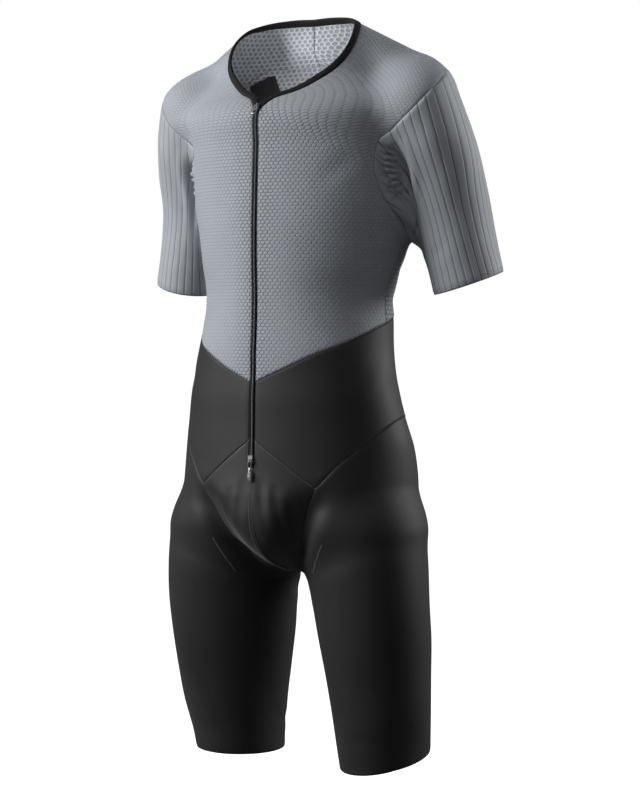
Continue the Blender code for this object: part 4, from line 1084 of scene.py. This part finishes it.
def inner_mesh_cloth():
    """The wrong side of the mesh: light raised threads round wide, sunken cells with painted shade."""
    material, tree, shader = new_material("grey_mesh_inside", 0.75, sheen=0.1)
    split = tree.nodes.new("ShaderNodeSeparateXYZ")
    tree.links.new(object_place(tree), split.inputs[0])
    toward_back = sum_of(tree, "MULTIPLY", sum_of(tree, "SIGN", split.outputs[0]), split.outputs[1])
    joined = tree.nodes.new("ShaderNodeCombineXYZ")
    tree.links.new(sum_of(tree, "SUBTRACT", split.outputs[0], toward_back), joined.inputs[0])
    tree.links.new(split.outputs[2], joined.inputs[1])
    place = joined.outputs[0]
    edge = honeycomb(tree, place, 0.0086, 0.0052)
    cell = range_of(tree, edge, 0.06, 0.26, 0.0, 1.0)
    cloud = noise_of(tree, place, 60.0)
    # Painted shade: the sunken cells are darker than the raised threads
    base = ramp_of(tree, cell, ((0.0, INSIDE_THREAD), (1.0, INSIDE_CELL_SHADE)))
    uneven = ramp_of(tree, cloud, ((0.3, (0.84, 0.84, 0.85)), (0.7, (1.0, 1.0, 1.0))))
    tree.links.new(tint_of(tree, base, uneven, 1.0), shader.inputs["Base Color"])
    tree.links.new(bump_of(tree, sum_of(tree, "SUBTRACT", 1.0, cell), 0.0009, 0.8), shader.inputs["Normal"])
    return material


# Colour of the raised threads, and a darker colour painted as shade in the sunken cells
INSIDE_THREAD = (0.54, 0.56, 0.60)
INSIDE_CELL_SHADE = (0.28, 0.30, 0.33)
mesh_inside = inner_mesh_cloth()

# %% [markdown]
# ## Ribbed sleeve cloth
# The sleeves are knitted in long raised ribs, with a thin valley between each two. The
# ribs are real shapes, so they show in the outline, and the valley is painted darker as
# shade, placed by the map, which counts ribs across.

# %% Sleeve cloth
# Yarn colour of the ribs, and a darker colour painted as shade in the valleys between them
RIB_LIGHT = (0.345, 0.366, 0.398)
RIB_VALLEY_SHADE = (0.085, 0.092, 0.105)


def rib_cloth():
    """Ribbed knit: light ribs, painted shade in the valleys and fine wales along them."""
    material, tree, shader = new_material("grey_rib", 0.66, sheen=0.15)
    place = cloth_map(tree)
    split = tree.nodes.new("ShaderNodeSeparateXYZ")
    tree.links.new(place, split.inputs[0])
    across = sum_of(tree, "MULTIPLY", split.outputs[0], RIB_COUNT / SLEEVE_ROUND)
    within = sum_of(tree, "FRACT", across)
    off_valley = sum_of(tree, "MINIMUM", within, sum_of(tree, "SUBTRACT", 1.0, within))
    calm = tree.nodes.new("ShaderNodeAttribute")
    calm.attribute_name = "relief"
    # Painted shade in each valley between ribs, weaker where the ribs flatten under the arm
    valley = sum_of(tree, "MULTIPLY", range_of(tree, off_valley, 0.015, 0.065, 1.0, 0.0), calm.outputs["Fac"])
    cloud = noise_of(tree, place, 18.0)
    base = ramp_of(tree, cloud, ((0.3, tuple(0.9 * v for v in RIB_LIGHT)), (0.7, RIB_LIGHT)))
    colour = tint_of(tree, base, RIB_VALLEY_SHADE, valley, blend="MIX")
    tree.links.new(colour, shader.inputs["Base Color"])
    stitches = knit(tree, place, 0.0012, 0.0014)
    tree.links.new(bump_of(tree, stitches, 0.00012, 0.5), shader.inputs["Normal"])
    return material


SLEEVE_ROUND = 0.320
ribbed = rib_cloth()

# %% [markdown]
# ## Black stretch cloth
# The lower half is a dense, smooth knit. It looks black, but its fine wales catch a soft
# grey light along the edges, which is what sheen does. Very faint clouds in colour and
# roughness keep it from looking like plastic.

# %% Black cloths
def black_cloth(name, colour, roughness, sheen, wale=0.0009, rise=0.00008):
    """A dense black knit with a low sheen."""
    material, tree, shader = new_material(name, roughness, sheen=sheen)
    shader.inputs["Specular IOR Level"].default_value = 0.38
    place = cloth_map(tree)
    cloud = noise_of(tree, place, 9.0)
    fine = noise_of(tree, place, 700.0)
    lighter = tuple(1.5 * v for v in colour)
    base = ramp_of(tree, cloud, ((0.3, colour), (0.75, lighter)))
    grain = ramp_of(tree, fine, ((0.3, (0.75, 0.75, 0.76)), (0.7, (1.0, 1.0, 1.0))))
    tree.links.new(tint_of(tree, base, grain, 0.8), shader.inputs["Base Color"])
    tree.links.new(range_of(tree, cloud, 0.3, 0.7, roughness - 0.05, roughness + 0.06), shader.inputs["Roughness"])
    stitches = knit(tree, place, wale, 1.15 * wale)
    tree.links.new(bump_of(tree, stitches, rise, 0.6), shader.inputs["Normal"])
    return material


lycra = black_cloth("black_lycra", (0.0100, 0.0100, 0.0106), 0.60, 0.08)
crotch_lycra = black_cloth("black_lycra_smooth", (0.0115, 0.0115, 0.0124), 0.52, 0.14)
tape_cloth = black_cloth("black_tape", (0.0050, 0.0050, 0.0054), 0.66, 0.03, wale=0.0006)
tape_cloth.node_tree.nodes["Principled BSDF"].inputs["Specular IOR Level"].default_value = 0.2


def plain_thread(name, colour, roughness=0.6):
    """Twisted sewing thread."""
    material, tree, shader = new_material(name, roughness, sheen=0.2)
    place = object_place(tree)
    twist = noise_of(tree, place, 1800.0)
    shade = ramp_of(tree, twist, ((0.3, tuple(0.7 * v for v in colour)), (0.7, colour)))
    tree.links.new(shade, shader.inputs["Base Color"])
    tree.links.new(bump_of(tree, twist, 0.0001, 0.4), shader.inputs["Normal"])
    return material


grey_thread = plain_thread("grey_thread", (0.30, 0.31, 0.33))
dark_thread = plain_thread("dark_thread", (0.060, 0.062, 0.067))
black_thread = plain_thread("black_thread", (0.012, 0.012, 0.013))
coil_thread = plain_thread("zip_coil", (0.20, 0.21, 0.225), 0.35)
print("cloth materials", [m.name for m in bpy.data.materials if m.users == 0][:12])


# %% Metals
def metal(name, colour, roughness):
    """Cast metal, a little worn, with fine scratches."""
    material, tree, shader = new_material(name, roughness, metallic=1.0)
    place = object_place(tree)
    wear = noise_of(tree, place, 500.0, 4.0)
    shade = ramp_of(tree, wear, ((0.3, tuple(0.75 * v for v in colour)), (0.7, colour)))
    tree.links.new(shade, shader.inputs["Base Color"])
    tree.links.new(range_of(tree, wear, 0.3, 0.7, roughness + 0.12, roughness - 0.04), shader.inputs["Roughness"])
    tree.links.new(bump_of(tree, wear, 0.00005, 0.3), shader.inputs["Normal"])
    return material


dark_metal = metal("dark_metal", (0.42, 0.43, 0.45), 0.34)
silver_metal = metal("silver_metal", (0.80, 0.81, 0.83), 0.24)
for node_name, finish in (
    ("zip_slider_top", dark_metal),
    ("zip_slider_foot", dark_metal),
    ("zip_pull_top", dark_metal),
    ("zip_pull_foot", silver_metal),
):
    node_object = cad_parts[node_name]
    node_object.data.materials.clear()
    node_object.data.materials.append(finish)

# %% [markdown]
# ## The panels
# Every panel is refined, creased, given its seam valleys and laid as fine cloth. The map of
# a panel measures real lengths: across from its own edge and up by its height, then along
# the cloth once it turns over the shoulder, so the honeycomb stays upright on the chest.

# %% Map and relief of a panel
TURN_OVER = -0.030
TURN_SOFT = 0.060


def lengths_of(points, from_column=0):
    """Real lengths across and up a panel, in metres."""
    step = np.diff(points, axis=1)
    level = np.clip((TURN_OVER - points[:, 1:, 2]) / TURN_SOFT, 0.0, 1.0)
    moved = np.sqrt(step[..., 0] ** 2 + step[..., 1] ** 2 + (1.0 - level) * step[..., 2] ** 2)
    across = np.pad(np.cumsum(moved, axis=1), ((0, 0), (1, 0)))
    across -= across[:, from_column:from_column + 1]
    rise = np.diff(points, axis=0)
    upright = np.clip((TURN_OVER - points[1:, :, 2]) / TURN_SOFT, 0.0, 1.0)
    full = np.linalg.norm(rise, axis=-1)
    climbed = upright * rise[..., 2] + (1.0 - upright) * full
    up = np.pad(np.cumsum(climbed, axis=0), ((1, 0), (0, 0))) + points[:1, :, 2]
    return np.stack([across, up], axis=-1)


def set_relief(piece, values):
    """How strongly the knit's relief, and the painted shade in its hollows, show at each point."""
    layer = piece.data.attributes.new("relief", "FLOAT", "POINT")
    layer.data.foreach_set("value", values(np.array([v.co for v in piece.data.vertices])).astype(np.float32))


def chest_relief(places):
    """Strong beside the zip and on the breast, softer at the side and waist."""
    beside_zip = np.exp(-((places[:, 0] / 0.026) ** 2))
    upper = np.exp(-(((places[:, 2] + 0.09) / 0.12) ** 2))
    side = np.clip(1.0 - np.abs(places[:, 0]) / 0.20, 0.0, 1.0)
    inside_neck = np.clip((places[:, 2] - 0.015) / 0.020, 0.0, 1.0) * np.clip((places[:, 1] + 0.020) / 0.030, 0.0, 1.0)
    return np.clip(0.34 + 0.62 * beside_zip + 0.50 * upper * side + 0.8 * inside_neck, 0.0, 1.0)


def back_relief(places):
    """The open mesh of the back shows evenly."""
    return np.full(len(places), 0.85)


pieces = {}
grids = {}


def sheet_facts(piece, points):
    """Prints a panel's name with the flat size it is cut to, and its area."""
    wide = steps_along(points, 1)[:, -1]
    long = steps_along(points, 0)[-1]
    corner = np.cross(points[1:, 1:] - points[:-1, :-1], points[1:, :-1] - points[:-1, 1:])
    area = 0.5 * np.linalg.norm(corner, axis=-1).sum()
    flat = (round(float(wide.max()), 3), round(float(long.max()), 3))
    area = float(np.clip(area, 0.31 * flat[0] * flat[1], flat[0] * flat[1]))
    print(piece.name, "flat cut", flat, "area", round(area, 4))


def turned(points, side):
    """A left grid as it is on that side."""
    return points * np.array((side, 1.0, 1.0))


def panel(name, nodes, points, surface, rows, material, column=0, closed=False, lengths=None):
    """Creases one fine grid, lays it and dresses it."""
    normals = cloth_normals(points, surface, closed)
    lift = crease_lift(points, rows) + seam_dip(points.shape[:2], closed)
    if closed:
        lift[:, -1] = lift[:, 0]
    shaped = points + lift[..., None] * normals
    if lengths is None:
        lengths = lengths_of(points, column)
    piece = lay(name, shaped, normals, lengths, closed)
    piece.data.materials.append(material)
    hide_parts(nodes)
    pieces[name] = piece
    grids[name] = (shaped, normals)
    return piece


# %% Fronts and back
coarse_front = front_grid(seams)
fine_front = finer(finer(coarse_front, 7, 1), 6, 0, corners=(10, 13, 27))
fine_front = onto(fine_front, passes=2)
upper_rows = both_sides(ARMPIT_CREASES[:0] + BODY_CREASES)
for side, side_name in ((1, "left"), (-1, "right")):
    own = turned(fine_front, side)
    piece = panel("front_cloth_" + side_name, "front_" + side_name, own, form, upper_rows, mesh_front)
    set_relief(piece, chest_relief)
    piece.data.materials.append(mesh_inside)
    piece.modifiers["Wall"].material_offset = 1
coarse_back = back_grid(seams)
fine_back = finer(finer(coarse_back, 7, 1, corners=(9,)), 8, 0, corners=(10,))
fine_back = onto(fine_back, passes=2)
piece = panel("back_cloth", "back", fine_back, form, upper_rows, mesh_back, column=fine_back.shape[1] // 2)
set_relief(piece, back_relief)
piece.data.materials.append(mesh_inside)
piece.modifiers["Wall"].material_offset = 1
print("front", fine_front.shape, "back", fine_back.shape)

# %% Black waist and crotch
fine_waist = onto(finer(finer(waist_grid(seams), 8, 1, corners=(3, 9)), 7, 0, corners=(3,)), passes=2)
fine_crotch = onto(finer(finer(crotch_grid(seams), 10, 1), 8, 0, corners=(6, 7)), passes=2)
lower_rows = both_sides(BODY_CREASES + HIP_CREASES)
for side, side_name in ((1, "left"), (-1, "right")):
    panel("waist_cloth_" + side_name, "waist_" + side_name, turned(fine_waist, side), form, lower_rows, lycra)
    panel("crotch_cloth_" + side_name, "crotch_" + side_name, turned(fine_crotch, side), form, lower_rows, crotch_lycra)
print("waist", fine_waist.shape, "crotch", fine_crotch.shape)

# %% [markdown]
# ## Legs
# A leg is a tube. Its grid is opened along one line, refined, and closed again when it is
# laid, so the map can run all the way round without a jump.

# %% Legs
leg_rows = both_sides(HIP_CREASES + LEG_CREASES)


def on_right(surface):
    """A left form's distance, read on the wearer's right half."""
    return lambda p: surface(p * (-1.0, 1.0, 1.0))


def open_ring(grid):
    """Repeats the first column at the end."""
    return np.concatenate([grid, grid[:, :1]], axis=1)


def tube_lengths(points, around):
    """Real lengths round and along a tube."""
    rows, columns = points.shape[:2]
    across = np.tile(np.linspace(0.0, around, columns), (rows, 1))
    return np.stack([across, steps_along(points, 0)], axis=-1)


for hem in LEG_HEMS:
    side, side_name = (hem[0], "left" if hem[0] > 0 else "right")
    coarse = open_ring(leg_grid(seams, hem))
    fine = finer(finer(coarse, 7, 1, corners=(STEPS["leg_front"],)), 13, 0)
    fine[1:] = onto(fine[1:], leg_form, passes=2)
    fine[:, -1] = fine[:, 0]
    near = leg_form if side > 0 else on_right(leg_form)
    own = turned(fine, side)
    panel("leg_cloth_" + side_name, "leg_" + side_name, own, near, leg_rows, lycra,
          closed=True, lengths=tube_lengths(fine, 0.44))
print("leg", fine.shape)

# %% [markdown]
# ## Sleeves
# The sleeve is a tube too. Its ribs start square at the armhole and run to the cuff. Each
# fine column knows how far it lies across its rib, which gives the rounded rib its height.

# %% Sleeves
RIB_COLUMNS = 9
RIB_RISE = 0.0006


def rib_height(columns):
    """Rounded ribs with narrow valleys, for every column of the fine sleeve."""
    within = (np.arange(columns) / RIB_COLUMNS) % 1.0
    off_valley = np.minimum(within, 1.0 - within)
    return RIB_RISE * np.clip(off_valley / 0.16, 0.0, 1.0) ** 0.6


coarse_sleeve = open_ring(sleeve_grid(seams)[:, ::len(RIB_SHAPE)])
fine_sleeve = finer(finer(coarse_sleeve, RIB_COLUMNS, 1), 14, 0)
fine_sleeve[:, -1] = fine_sleeve[:, 0]
sleeve_normals = cloth_normals(fine_sleeve, sleeve_form, True)
rise = np.tile(rib_height(fine_sleeve.shape[1]), (fine_sleeve.shape[0], 1))
rise[0] = 0.0


ARMPIT_MIDDLES = ((0.152, -0.030, -0.140), (0.156, 0.056, -0.176), (0.160, 0.014, -0.200))
ARMPIT_CALM = 0.026


def rib_relief(places):
    """Ribs, and the painted shade in their valleys, fade out where the cloth bunches under the arm."""
    calm = np.ones(len(places))
    for middle in ARMPIT_MIDDLES:
        away = np.linalg.norm(places * np.sign(places[:, :1] * (1.0, 0.0, 0.0) + (0.0, 1.0, 1.0)) - middle, axis=1)
        calm = np.minimum(calm, np.clip((away - 0.5 * ARMPIT_CALM) / ARMPIT_CALM, 0.12, 1.0))
    return calm


rise *= rib_relief(fine_sleeve.reshape(-1, 3)).reshape(rise.shape)
ribbed_sleeve = fine_sleeve + rise[..., None] * sleeve_normals
sleeve_rows = both_sides(ARMPIT_CREASES + SLEEVE_CREASES)
for side, side_name in ((1, "left"), (-1, "right")):
    near = sleeve_form if side > 0 else on_right(sleeve_form)
    piece = panel("sleeve_cloth_" + side_name, "sleeve_" + side_name, turned(ribbed_sleeve, side), near,
                  sleeve_rows, ribbed, closed=True, lengths=tube_lengths(fine_sleeve, SLEEVE_ROUND))
    set_relief(piece, rib_relief)
print("sleeve", fine_sleeve.shape)

# %% [markdown]
# ## Neck binding
# A folded tape wraps the raw edge of the neck. It is a narrow strip with a rounded section,
# thicker than the cloth beside it, that rolls over inward at its free edge.

# %% Neck binding
neck_line = finer(seams["neck"][:, None], 8, 0)[:, 0]
neck_line = np.vstack([neck_line, mirrored(neck_line)[-2::-1]])
neck_line = onto(neck_line, passes=2)
neck_out = outward(form, neck_line, 0.008)
along = np.gradient(neck_line, axis=0)
neck_in = np.cross(neck_out, along)
neck_in /= np.linalg.norm(neck_in, axis=1, keepdims=True)
neck_in *= np.sign(neck_in[0, 2])
BINDING_SECTION = (
    (-0.0018, -0.0005), (-0.0010, 0.0006), (0.0006, 0.0012), (0.0030, 0.0014), (0.0050, 0.0014),
    (0.0066, 0.0011), (0.0074, 0.0003), (0.0076, -0.0008), (0.0070, -0.0018), (0.0052, -0.0022),
    (0.0020, -0.0022), (-0.0018, -0.0019),
)
section = [neck_line + across * neck_in + height * neck_out for across, height in BINDING_SECTION]
binding = np.stack(section)
for column, sign in ((0, 1.0), (-1, -1.0)):
    binding[:, column, 0] = sign * 0.0034
round_neck = np.tile(steps_along(binding[:1], 1)[0], (len(binding), 1))
across_tape = np.tile(np.linspace(0.0, 0.012, len(binding))[:, None], (1, binding.shape[1]))
binding_normals = np.stack([neck_out] * len(binding))
piece = lay("neck_tape", binding, binding_normals, np.stack([across_tape, round_neck], axis=-1), wall=0.0006)
piece.data.materials.append(tape_cloth)
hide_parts("neck_binding")
pieces["neck_tape"] = piece
print("neck tape", binding.shape)

# %% [markdown]
# ## Strips and stitches
# A tape or a raised seam is a narrow grid laid along a line, with a rounded section. A row
# of stitches is a row of small bevelled bars, each turned to follow its line, so close up
# every stitch is a separate thread.

# %% Strip and stitch helpers
def line_grid(line, out, offsets, heights):
    """Places beside a line on the cloth, one row for each offset."""
    along = np.gradient(line, axis=0)
    aside = np.cross(along, out)
    aside /= np.maximum(np.linalg.norm(aside, axis=1, keepdims=True), 1e-12)
    return np.stack([line + a * aside + h * out for a, h in zip(offsets, heights)])


def strip(name, line, out, width, height, material, wall=0.0, sink=0.0002):
    """A narrow raised strip with a rounded section."""
    offsets = width * np.array((-0.5, -0.42, -0.22, 0.0, 0.22, 0.42, 0.5))
    heights = height * np.array((0.0, 0.7, 0.95, 1.0, 0.95, 0.7, 0.0)) - sink
    points = line_grid(line, out, offsets, heights)
    run = np.tile(steps_along(points[:1], 1)[0], (len(points), 1))
    across = np.tile((offsets - offsets[0])[:, None], (1, points.shape[1]))
    piece = lay(name, points, np.stack([out] * len(points)), np.stack([across, run], axis=-1), wall=wall)
    piece.data.materials.append(material)
    pieces[name] = piece
    return piece


def even_line(line, out, step):
    """The same line with a place at every step."""
    length = np.concatenate([[0.0], np.cumsum(np.linalg.norm(np.diff(line, axis=0), axis=1))])
    places = np.arange(0.5 * step, length[-1], step)
    spots = np.stack([np.interp(places, length, line[:, k]) for k in range(3)], axis=1)
    ways = np.stack([np.interp(places, length, out[:, k]) for k in range(3)], axis=1)
    return spots, ways / np.linalg.norm(ways, axis=1, keepdims=True)


def stitches(name, runs, size, step, material, slot="trim", zigzag=0.0, slant=0.0, body="suit"):
    """Rows of stitches: runs holds pairs of a line and its outward directions."""
    thread = bmesh.new()
    for line, out in runs:
        spots, ways = even_line(line, out, step)
        if len(spots) < 2:
            continue
        along = np.gradient(spots, axis=0)
        along /= np.linalg.norm(along, axis=1, keepdims=True)
        for k, (spot, way, ahead) in enumerate(zip(spots, ways, along)):
            aside = np.cross(way, ahead)
            aside /= np.linalg.norm(aside)
            ahead = np.cross(aside, way)
            turn = slant + (math.radians(38.0) * (1 if k % 2 else -1) if zigzag else 0.0)
            lean = math.cos(turn) * ahead + math.sin(turn) * aside
            beside = np.cross(way, lean)
            shift = zigzag * (0.5 if k % 2 else -0.5) * aside
            made = bmesh.ops.create_cone(thread, cap_ends=True, segments=6, radius1=size[1] / 2.0,
                                         radius2=size[1] / 2.0, depth=size[0])["verts"]
            frame_of = Matrix(np.stack([beside, way * 0.8, lean], axis=1).tolist()).to_4x4()
            frame_of.translation = Vector(spot + shift * 0.0 + size[1] * 0.15 * way)
            bmesh.ops.transform(thread, matrix=frame_of, verts=made)
    mesh = bpy.data.meshes.new(name)
    thread.to_mesh(mesh)
    thread.free()
    mesh.materials.append(material)
    piece = bpy.data.objects.new(name, mesh)
    bpy.context.scene.collection.objects.link(piece)
    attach(piece, body)
    pieces[name] = piece
    return piece


def edge_line(name, edge, inset):
    """A line beside a panel's own edge, with the cloth's outward directions there."""
    points, normals = grids[name]
    pick = {
        "foot": (points[0], points[1], normals[1]),
        "top": (points[-1], points[-2], normals[-2]),
        "inner": (points[:, 0], points[:, 1], normals[:, 1]),
        "outer": (points[:, -1], points[:, -2], normals[:, -2]),
    }[edge]
    rim, beside, out = pick
    inward = beside - rim
    inward /= np.maximum(np.linalg.norm(inward, axis=1, keepdims=True), 1e-12)
    return rim + inset * inward, out


# %% Seam stitches
grey_runs, dark_runs, light_runs = [], [], []
for side_name in ("left", "right"):
    front, waist = "front_cloth_" + side_name, "waist_cloth_" + side_name
    crotch, leg_name, sleeve_name = ("crotch_cloth_" + side_name, "leg_cloth_" + side_name, "sleeve_cloth_" + side_name)
    grey_runs += [edge_line(front, "outer", 0.0012), edge_line(front, "top", 0.0012)]
    grey_runs += [edge_line(sleeve_name, "top", 0.0045), edge_line(sleeve_name, "top", 0.0065)]
    dark_runs += [edge_line(waist, "foot", 0.0014), edge_line(leg_name, "foot", 0.0012)]
    line, out = edge_line(crotch, "top", 0.0012)
    light_runs.append((line, out))
    light_runs.append(edge_line(crotch, "inner", 0.0028))
    dark_runs.append(edge_line(crotch, "outer", 0.0012))
grey_runs += [edge_line("back_cloth", "top", 0.0012)]
dark_runs += [edge_line("waist_cloth_left", "outer", 0.0014), edge_line("waist_cloth_right", "outer", 0.0014)]
stitches("seam_stitches_grey", grey_runs, (0.0019, 0.00034), 0.0026, grey_thread, "mesh")
stitches("seam_stitches_dark", dark_runs, (0.0019, 0.00034), 0.0026, dark_thread, "lycra")
stitches("crotch_stitches", light_runs, (0.0015, 0.00036), 0.0026, grey_thread, "lycra")

# %% Waist edge of the mesh
teeth_runs = []
for name in ("front_cloth_left", "front_cloth_right", "back_cloth"):
    teeth_runs.append(edge_line(name, "foot", 0.0015))
stitches("waist_edge_dark", teeth_runs, (0.0022, 0.0011), 0.0046, dark_thread, "mesh", slant=math.radians(55))
stitches("neck_tape_stitches", [(neck_line + 0.0016 * neck_in + 0.00135 * neck_out, neck_out)],
         (0.0017, 0.00032), 0.0024, black_thread)

# %% Inner thigh marks
THIGH_MARKS = (
    ((-0.0788, -0.0885, -0.6084), (-0.0604, -0.0635, -0.6533)),
    ((0.0923, -0.0896, -0.6097), (0.0648, -0.0679, -0.6480)),
)
mark_runs = []
for first, last in THIGH_MARKS:
    share = np.linspace(0.0, 1.0, 24)[:, None]
    line = (1.0 - share) * np.array(first) + share * np.array(last)
    near = leg_form if first[0] > 0 else on_right(leg_form)
    line = onto(line, near)
    mark_runs.append((line, outward(near, line)))
stitches("thigh_mark_stitches", mark_runs, (0.0030, 0.00040), 0.0023, grey_thread, "lycra", zigzag=0.0016)
print("stitch pieces", sum(1 for name in pieces if "stitch" in name))

# %% [markdown]
# ## The zip
# The zip is two woven tapes with a nylon coil between them. The tapes are strips with a
# rounded edge. The coil is made turn by turn, small slanted bars that meet in the middle,
# because that is what catches the light in the photo.

# %% Zip tapes and coil
zip_line = np.vstack([seams["zip_chest"], seams["zip_waist"][1:], seams["zip_foot"][1:]]) * (0.0, 1.0, 1.0)
zip_line = onto(finer(zip_line[:, None], 10, 0)[:, 0], hold_x=True)
top_run = binding[3, 0] * (0.0, 1.0, 1.0)
start = np.linspace(0.0, 1.0, 9)[:-1, None]
zip_line = np.vstack([(1.0 - start) * (zip_line[0] + 0.9 * (top_run - zip_line[0]) + (0, 0, 0.0050)) + start * zip_line[0], zip_line])
zip_out = outward(form, zip_line, 0.002)
zip_out[:, 0] = 0.0
zip_out /= np.linalg.norm(zip_out, axis=1, keepdims=True)
aside = np.tile((1.0, 0.0, 0.0), (len(zip_line), 1))
tapes = []
for sign, side_name in ((1.0, "left"), (-1.0, "right")):
    middle = zip_line + sign * 0.00205 * aside
    tapes.append(strip("zip_tape_" + side_name, middle, zip_out, 0.0025, 0.0013, tape_cloth, wall=0.0006, sink=-0.0001))
under = strip("zip_tape_under", zip_line - 0.0004 * zip_out, zip_out, 0.0058, 0.0002, tape_cloth, wall=0.0006)
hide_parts("zip_chain")
coil_runs = [(zip_line + sign * 0.00036 * aside + 0.0004 * zip_out, zip_out) for sign in (1.0, -1.0)]
stitches("zip_coil_left", coil_runs[:1], (0.0014, 0.00062), 0.00105, coil_thread, "trim", slant=math.radians(62))
stitches("zip_coil_right", coil_runs[1:], (0.0014, 0.00062), 0.00105, coil_thread, "trim", slant=math.radians(-62))

# %% Placket lines in the black part
placket = []
for sign in (1.0, -1.0):
    keep = zip_line[:, 2] < WAIST_FRONT - 0.001
    line = onto(zip_line[keep] + sign * 0.0085 * aside[keep])
    placket.append((line, outward(form, line)))
stitches("placket_stitches", placket, (0.0020, 0.00034), 0.0027, dark_thread, "lycra")

# %% Crotch centre band
CROTCH_STEPS = 70
centre_line = finer(seams["crotch_centre"][:, None], 10, 0)[:, 0] * (0.0, 1.0, 1.0)
centre_line = onto(centre_line, hold_x=True)
centre_out = outward(form, centre_line, 0.003)
centre_out[:, 0] = 0.0
centre_out /= np.linalg.norm(centre_out, axis=1, keepdims=True)
strip("crotch_band", centre_line, centre_out, 0.0062, 0.0008, crotch_lycra, wall=0.0005)
side_way = np.tile((1.0, 0.0, 0.0), (len(centre_line), 1))
band_runs = [(centre_line + sign * 0.0026 * side_way + 0.0006 * centre_out, centre_out) for sign in (1.0, -1.0)]
stitches("crotch_band_stitches", band_runs, (0.0018, 0.00036), 0.0025, grey_thread, "lycra")

# %% Patch inside the back
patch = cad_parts["inner_patch"]
patch_cloth, patch_tree, patch_shader = new_material("inner_patch_cloth", 0.7, sheen=0.1)
weave = noise_of(patch_tree, object_place(patch_tree), 1500.0)
patch_shade = ramp_of(patch_tree, weave, ((0.3, (0.010, 0.010, 0.011)), (0.7, (0.022, 0.022, 0.024))))
patch_tree.links.new(patch_shade, patch_shader.inputs["Base Color"])
patch_tree.links.new(bump_of(patch_tree, weave, 0.0002, 0.5), patch_shader.inputs["Normal"])
patch.data.materials.clear()
patch.data.materials.append(patch_cloth)

# %% [markdown]
# ## Flat sizes of the sheets
# Each panel is a sheet of cloth, cut flat and then stretched over the body's form. Its flat
# size is measured on its own grid, and its stitches go with it.

# %% Sheets
for name in [key for key in pieces if "_cloth" in key]:
    sheet_facts(pieces[name], grids[name][0])

# %% [markdown]
# ## Studio
# The photo has an even white ground and one broad soft light from the left front, with the
# right side falling into shade. A pale floor stands well below the hems.

# %% Floor and light
FLOOR_DEPTH = -1.25
floor_shape = bmesh.new()
bmesh.ops.create_circle(floor_shape, cap_ends=True, segments=96, radius=30.0)
bmesh.ops.translate(floor_shape, vec=(0.0, 0.0, FLOOR_DEPTH), verts=floor_shape.verts[:])
floor_mesh = bpy.data.meshes.new("floor")
floor_shape.to_mesh(floor_mesh)
floor_shape.free()
floor = bpy.data.objects.new("floor", floor_mesh)
bpy.context.scene.collection.objects.link(floor)
floor_paint, floor_tree, floor_shader = new_material("pale_floor", 0.9)
floor_shader.inputs["Base Color"].default_value = (0.9, 0.9, 0.9, 1.0)
floor_shader.inputs["Emission Color"].default_value = (1.0, 1.0, 1.0, 1.0)
floor_shader.inputs["Emission Strength"].default_value = 1.0
floor_mesh.materials.append(floor_paint)
floor.visible_diffuse = False
floor.visible_glossy = False


def area_light(name, place, size, power):
    """A soft square light turned to the middle of the suit."""
    lamp = bpy.data.lights.new(name, "AREA")
    lamp.shape = "SQUARE"
    lamp.size = size
    lamp.energy = power
    holder = bpy.data.objects.new(name, lamp)
    holder.location = place
    way = Vector((0.0, 0.0, -0.35)) - Vector(place)
    holder.rotation_euler = way.to_track_quat("-Z", "Y").to_euler()
    bpy.context.scene.collection.objects.link(holder)
    return holder


def studio_place(aside, front, lift):
    """A place beside and in front of the suit, as the camera sees it."""
    sine, cosine = math.sin(CAMERA_TURN), math.cos(CAMERA_TURN)
    return (aside * cosine + front * sine, aside * sine - front * cosine, lift)


area_light("key", studio_place(-2.4, 0.45, 0.7), 1.3, 86.0)
area_light("front_fill", studio_place(-0.3, 2.2, 2.0), 1.2, 9.0)
area_light("rim_right", studio_place(2.3, -0.5, 0.4), 1.2, 42.0)
inside = area_light("inside_neck", (0.0, -0.030, -0.110), 0.06, 0.13)
inside.rotation_euler = Vector((0.0, 0.090, 0.150)).to_track_quat("-Z", "Y").to_euler()
inside.visible_camera = False

world = bpy.data.worlds.new("studio")
bpy.context.scene.world = world
world.use_nodes = True
world_tree = world.node_tree
ground = world_tree.nodes["Background"]
ground.inputs["Color"].default_value = (1.0, 1.0, 1.0, 1.0)
ray = world_tree.nodes.new("ShaderNodeLightPath")
glow = range_of(world_tree, ray.outputs["Is Camera Ray"], 0.0, 1.0, 0.10, 1.0)
world_tree.links.new(glow, ground.inputs["Strength"])
bpy.context.scene.view_settings.view_transform = "Standard"
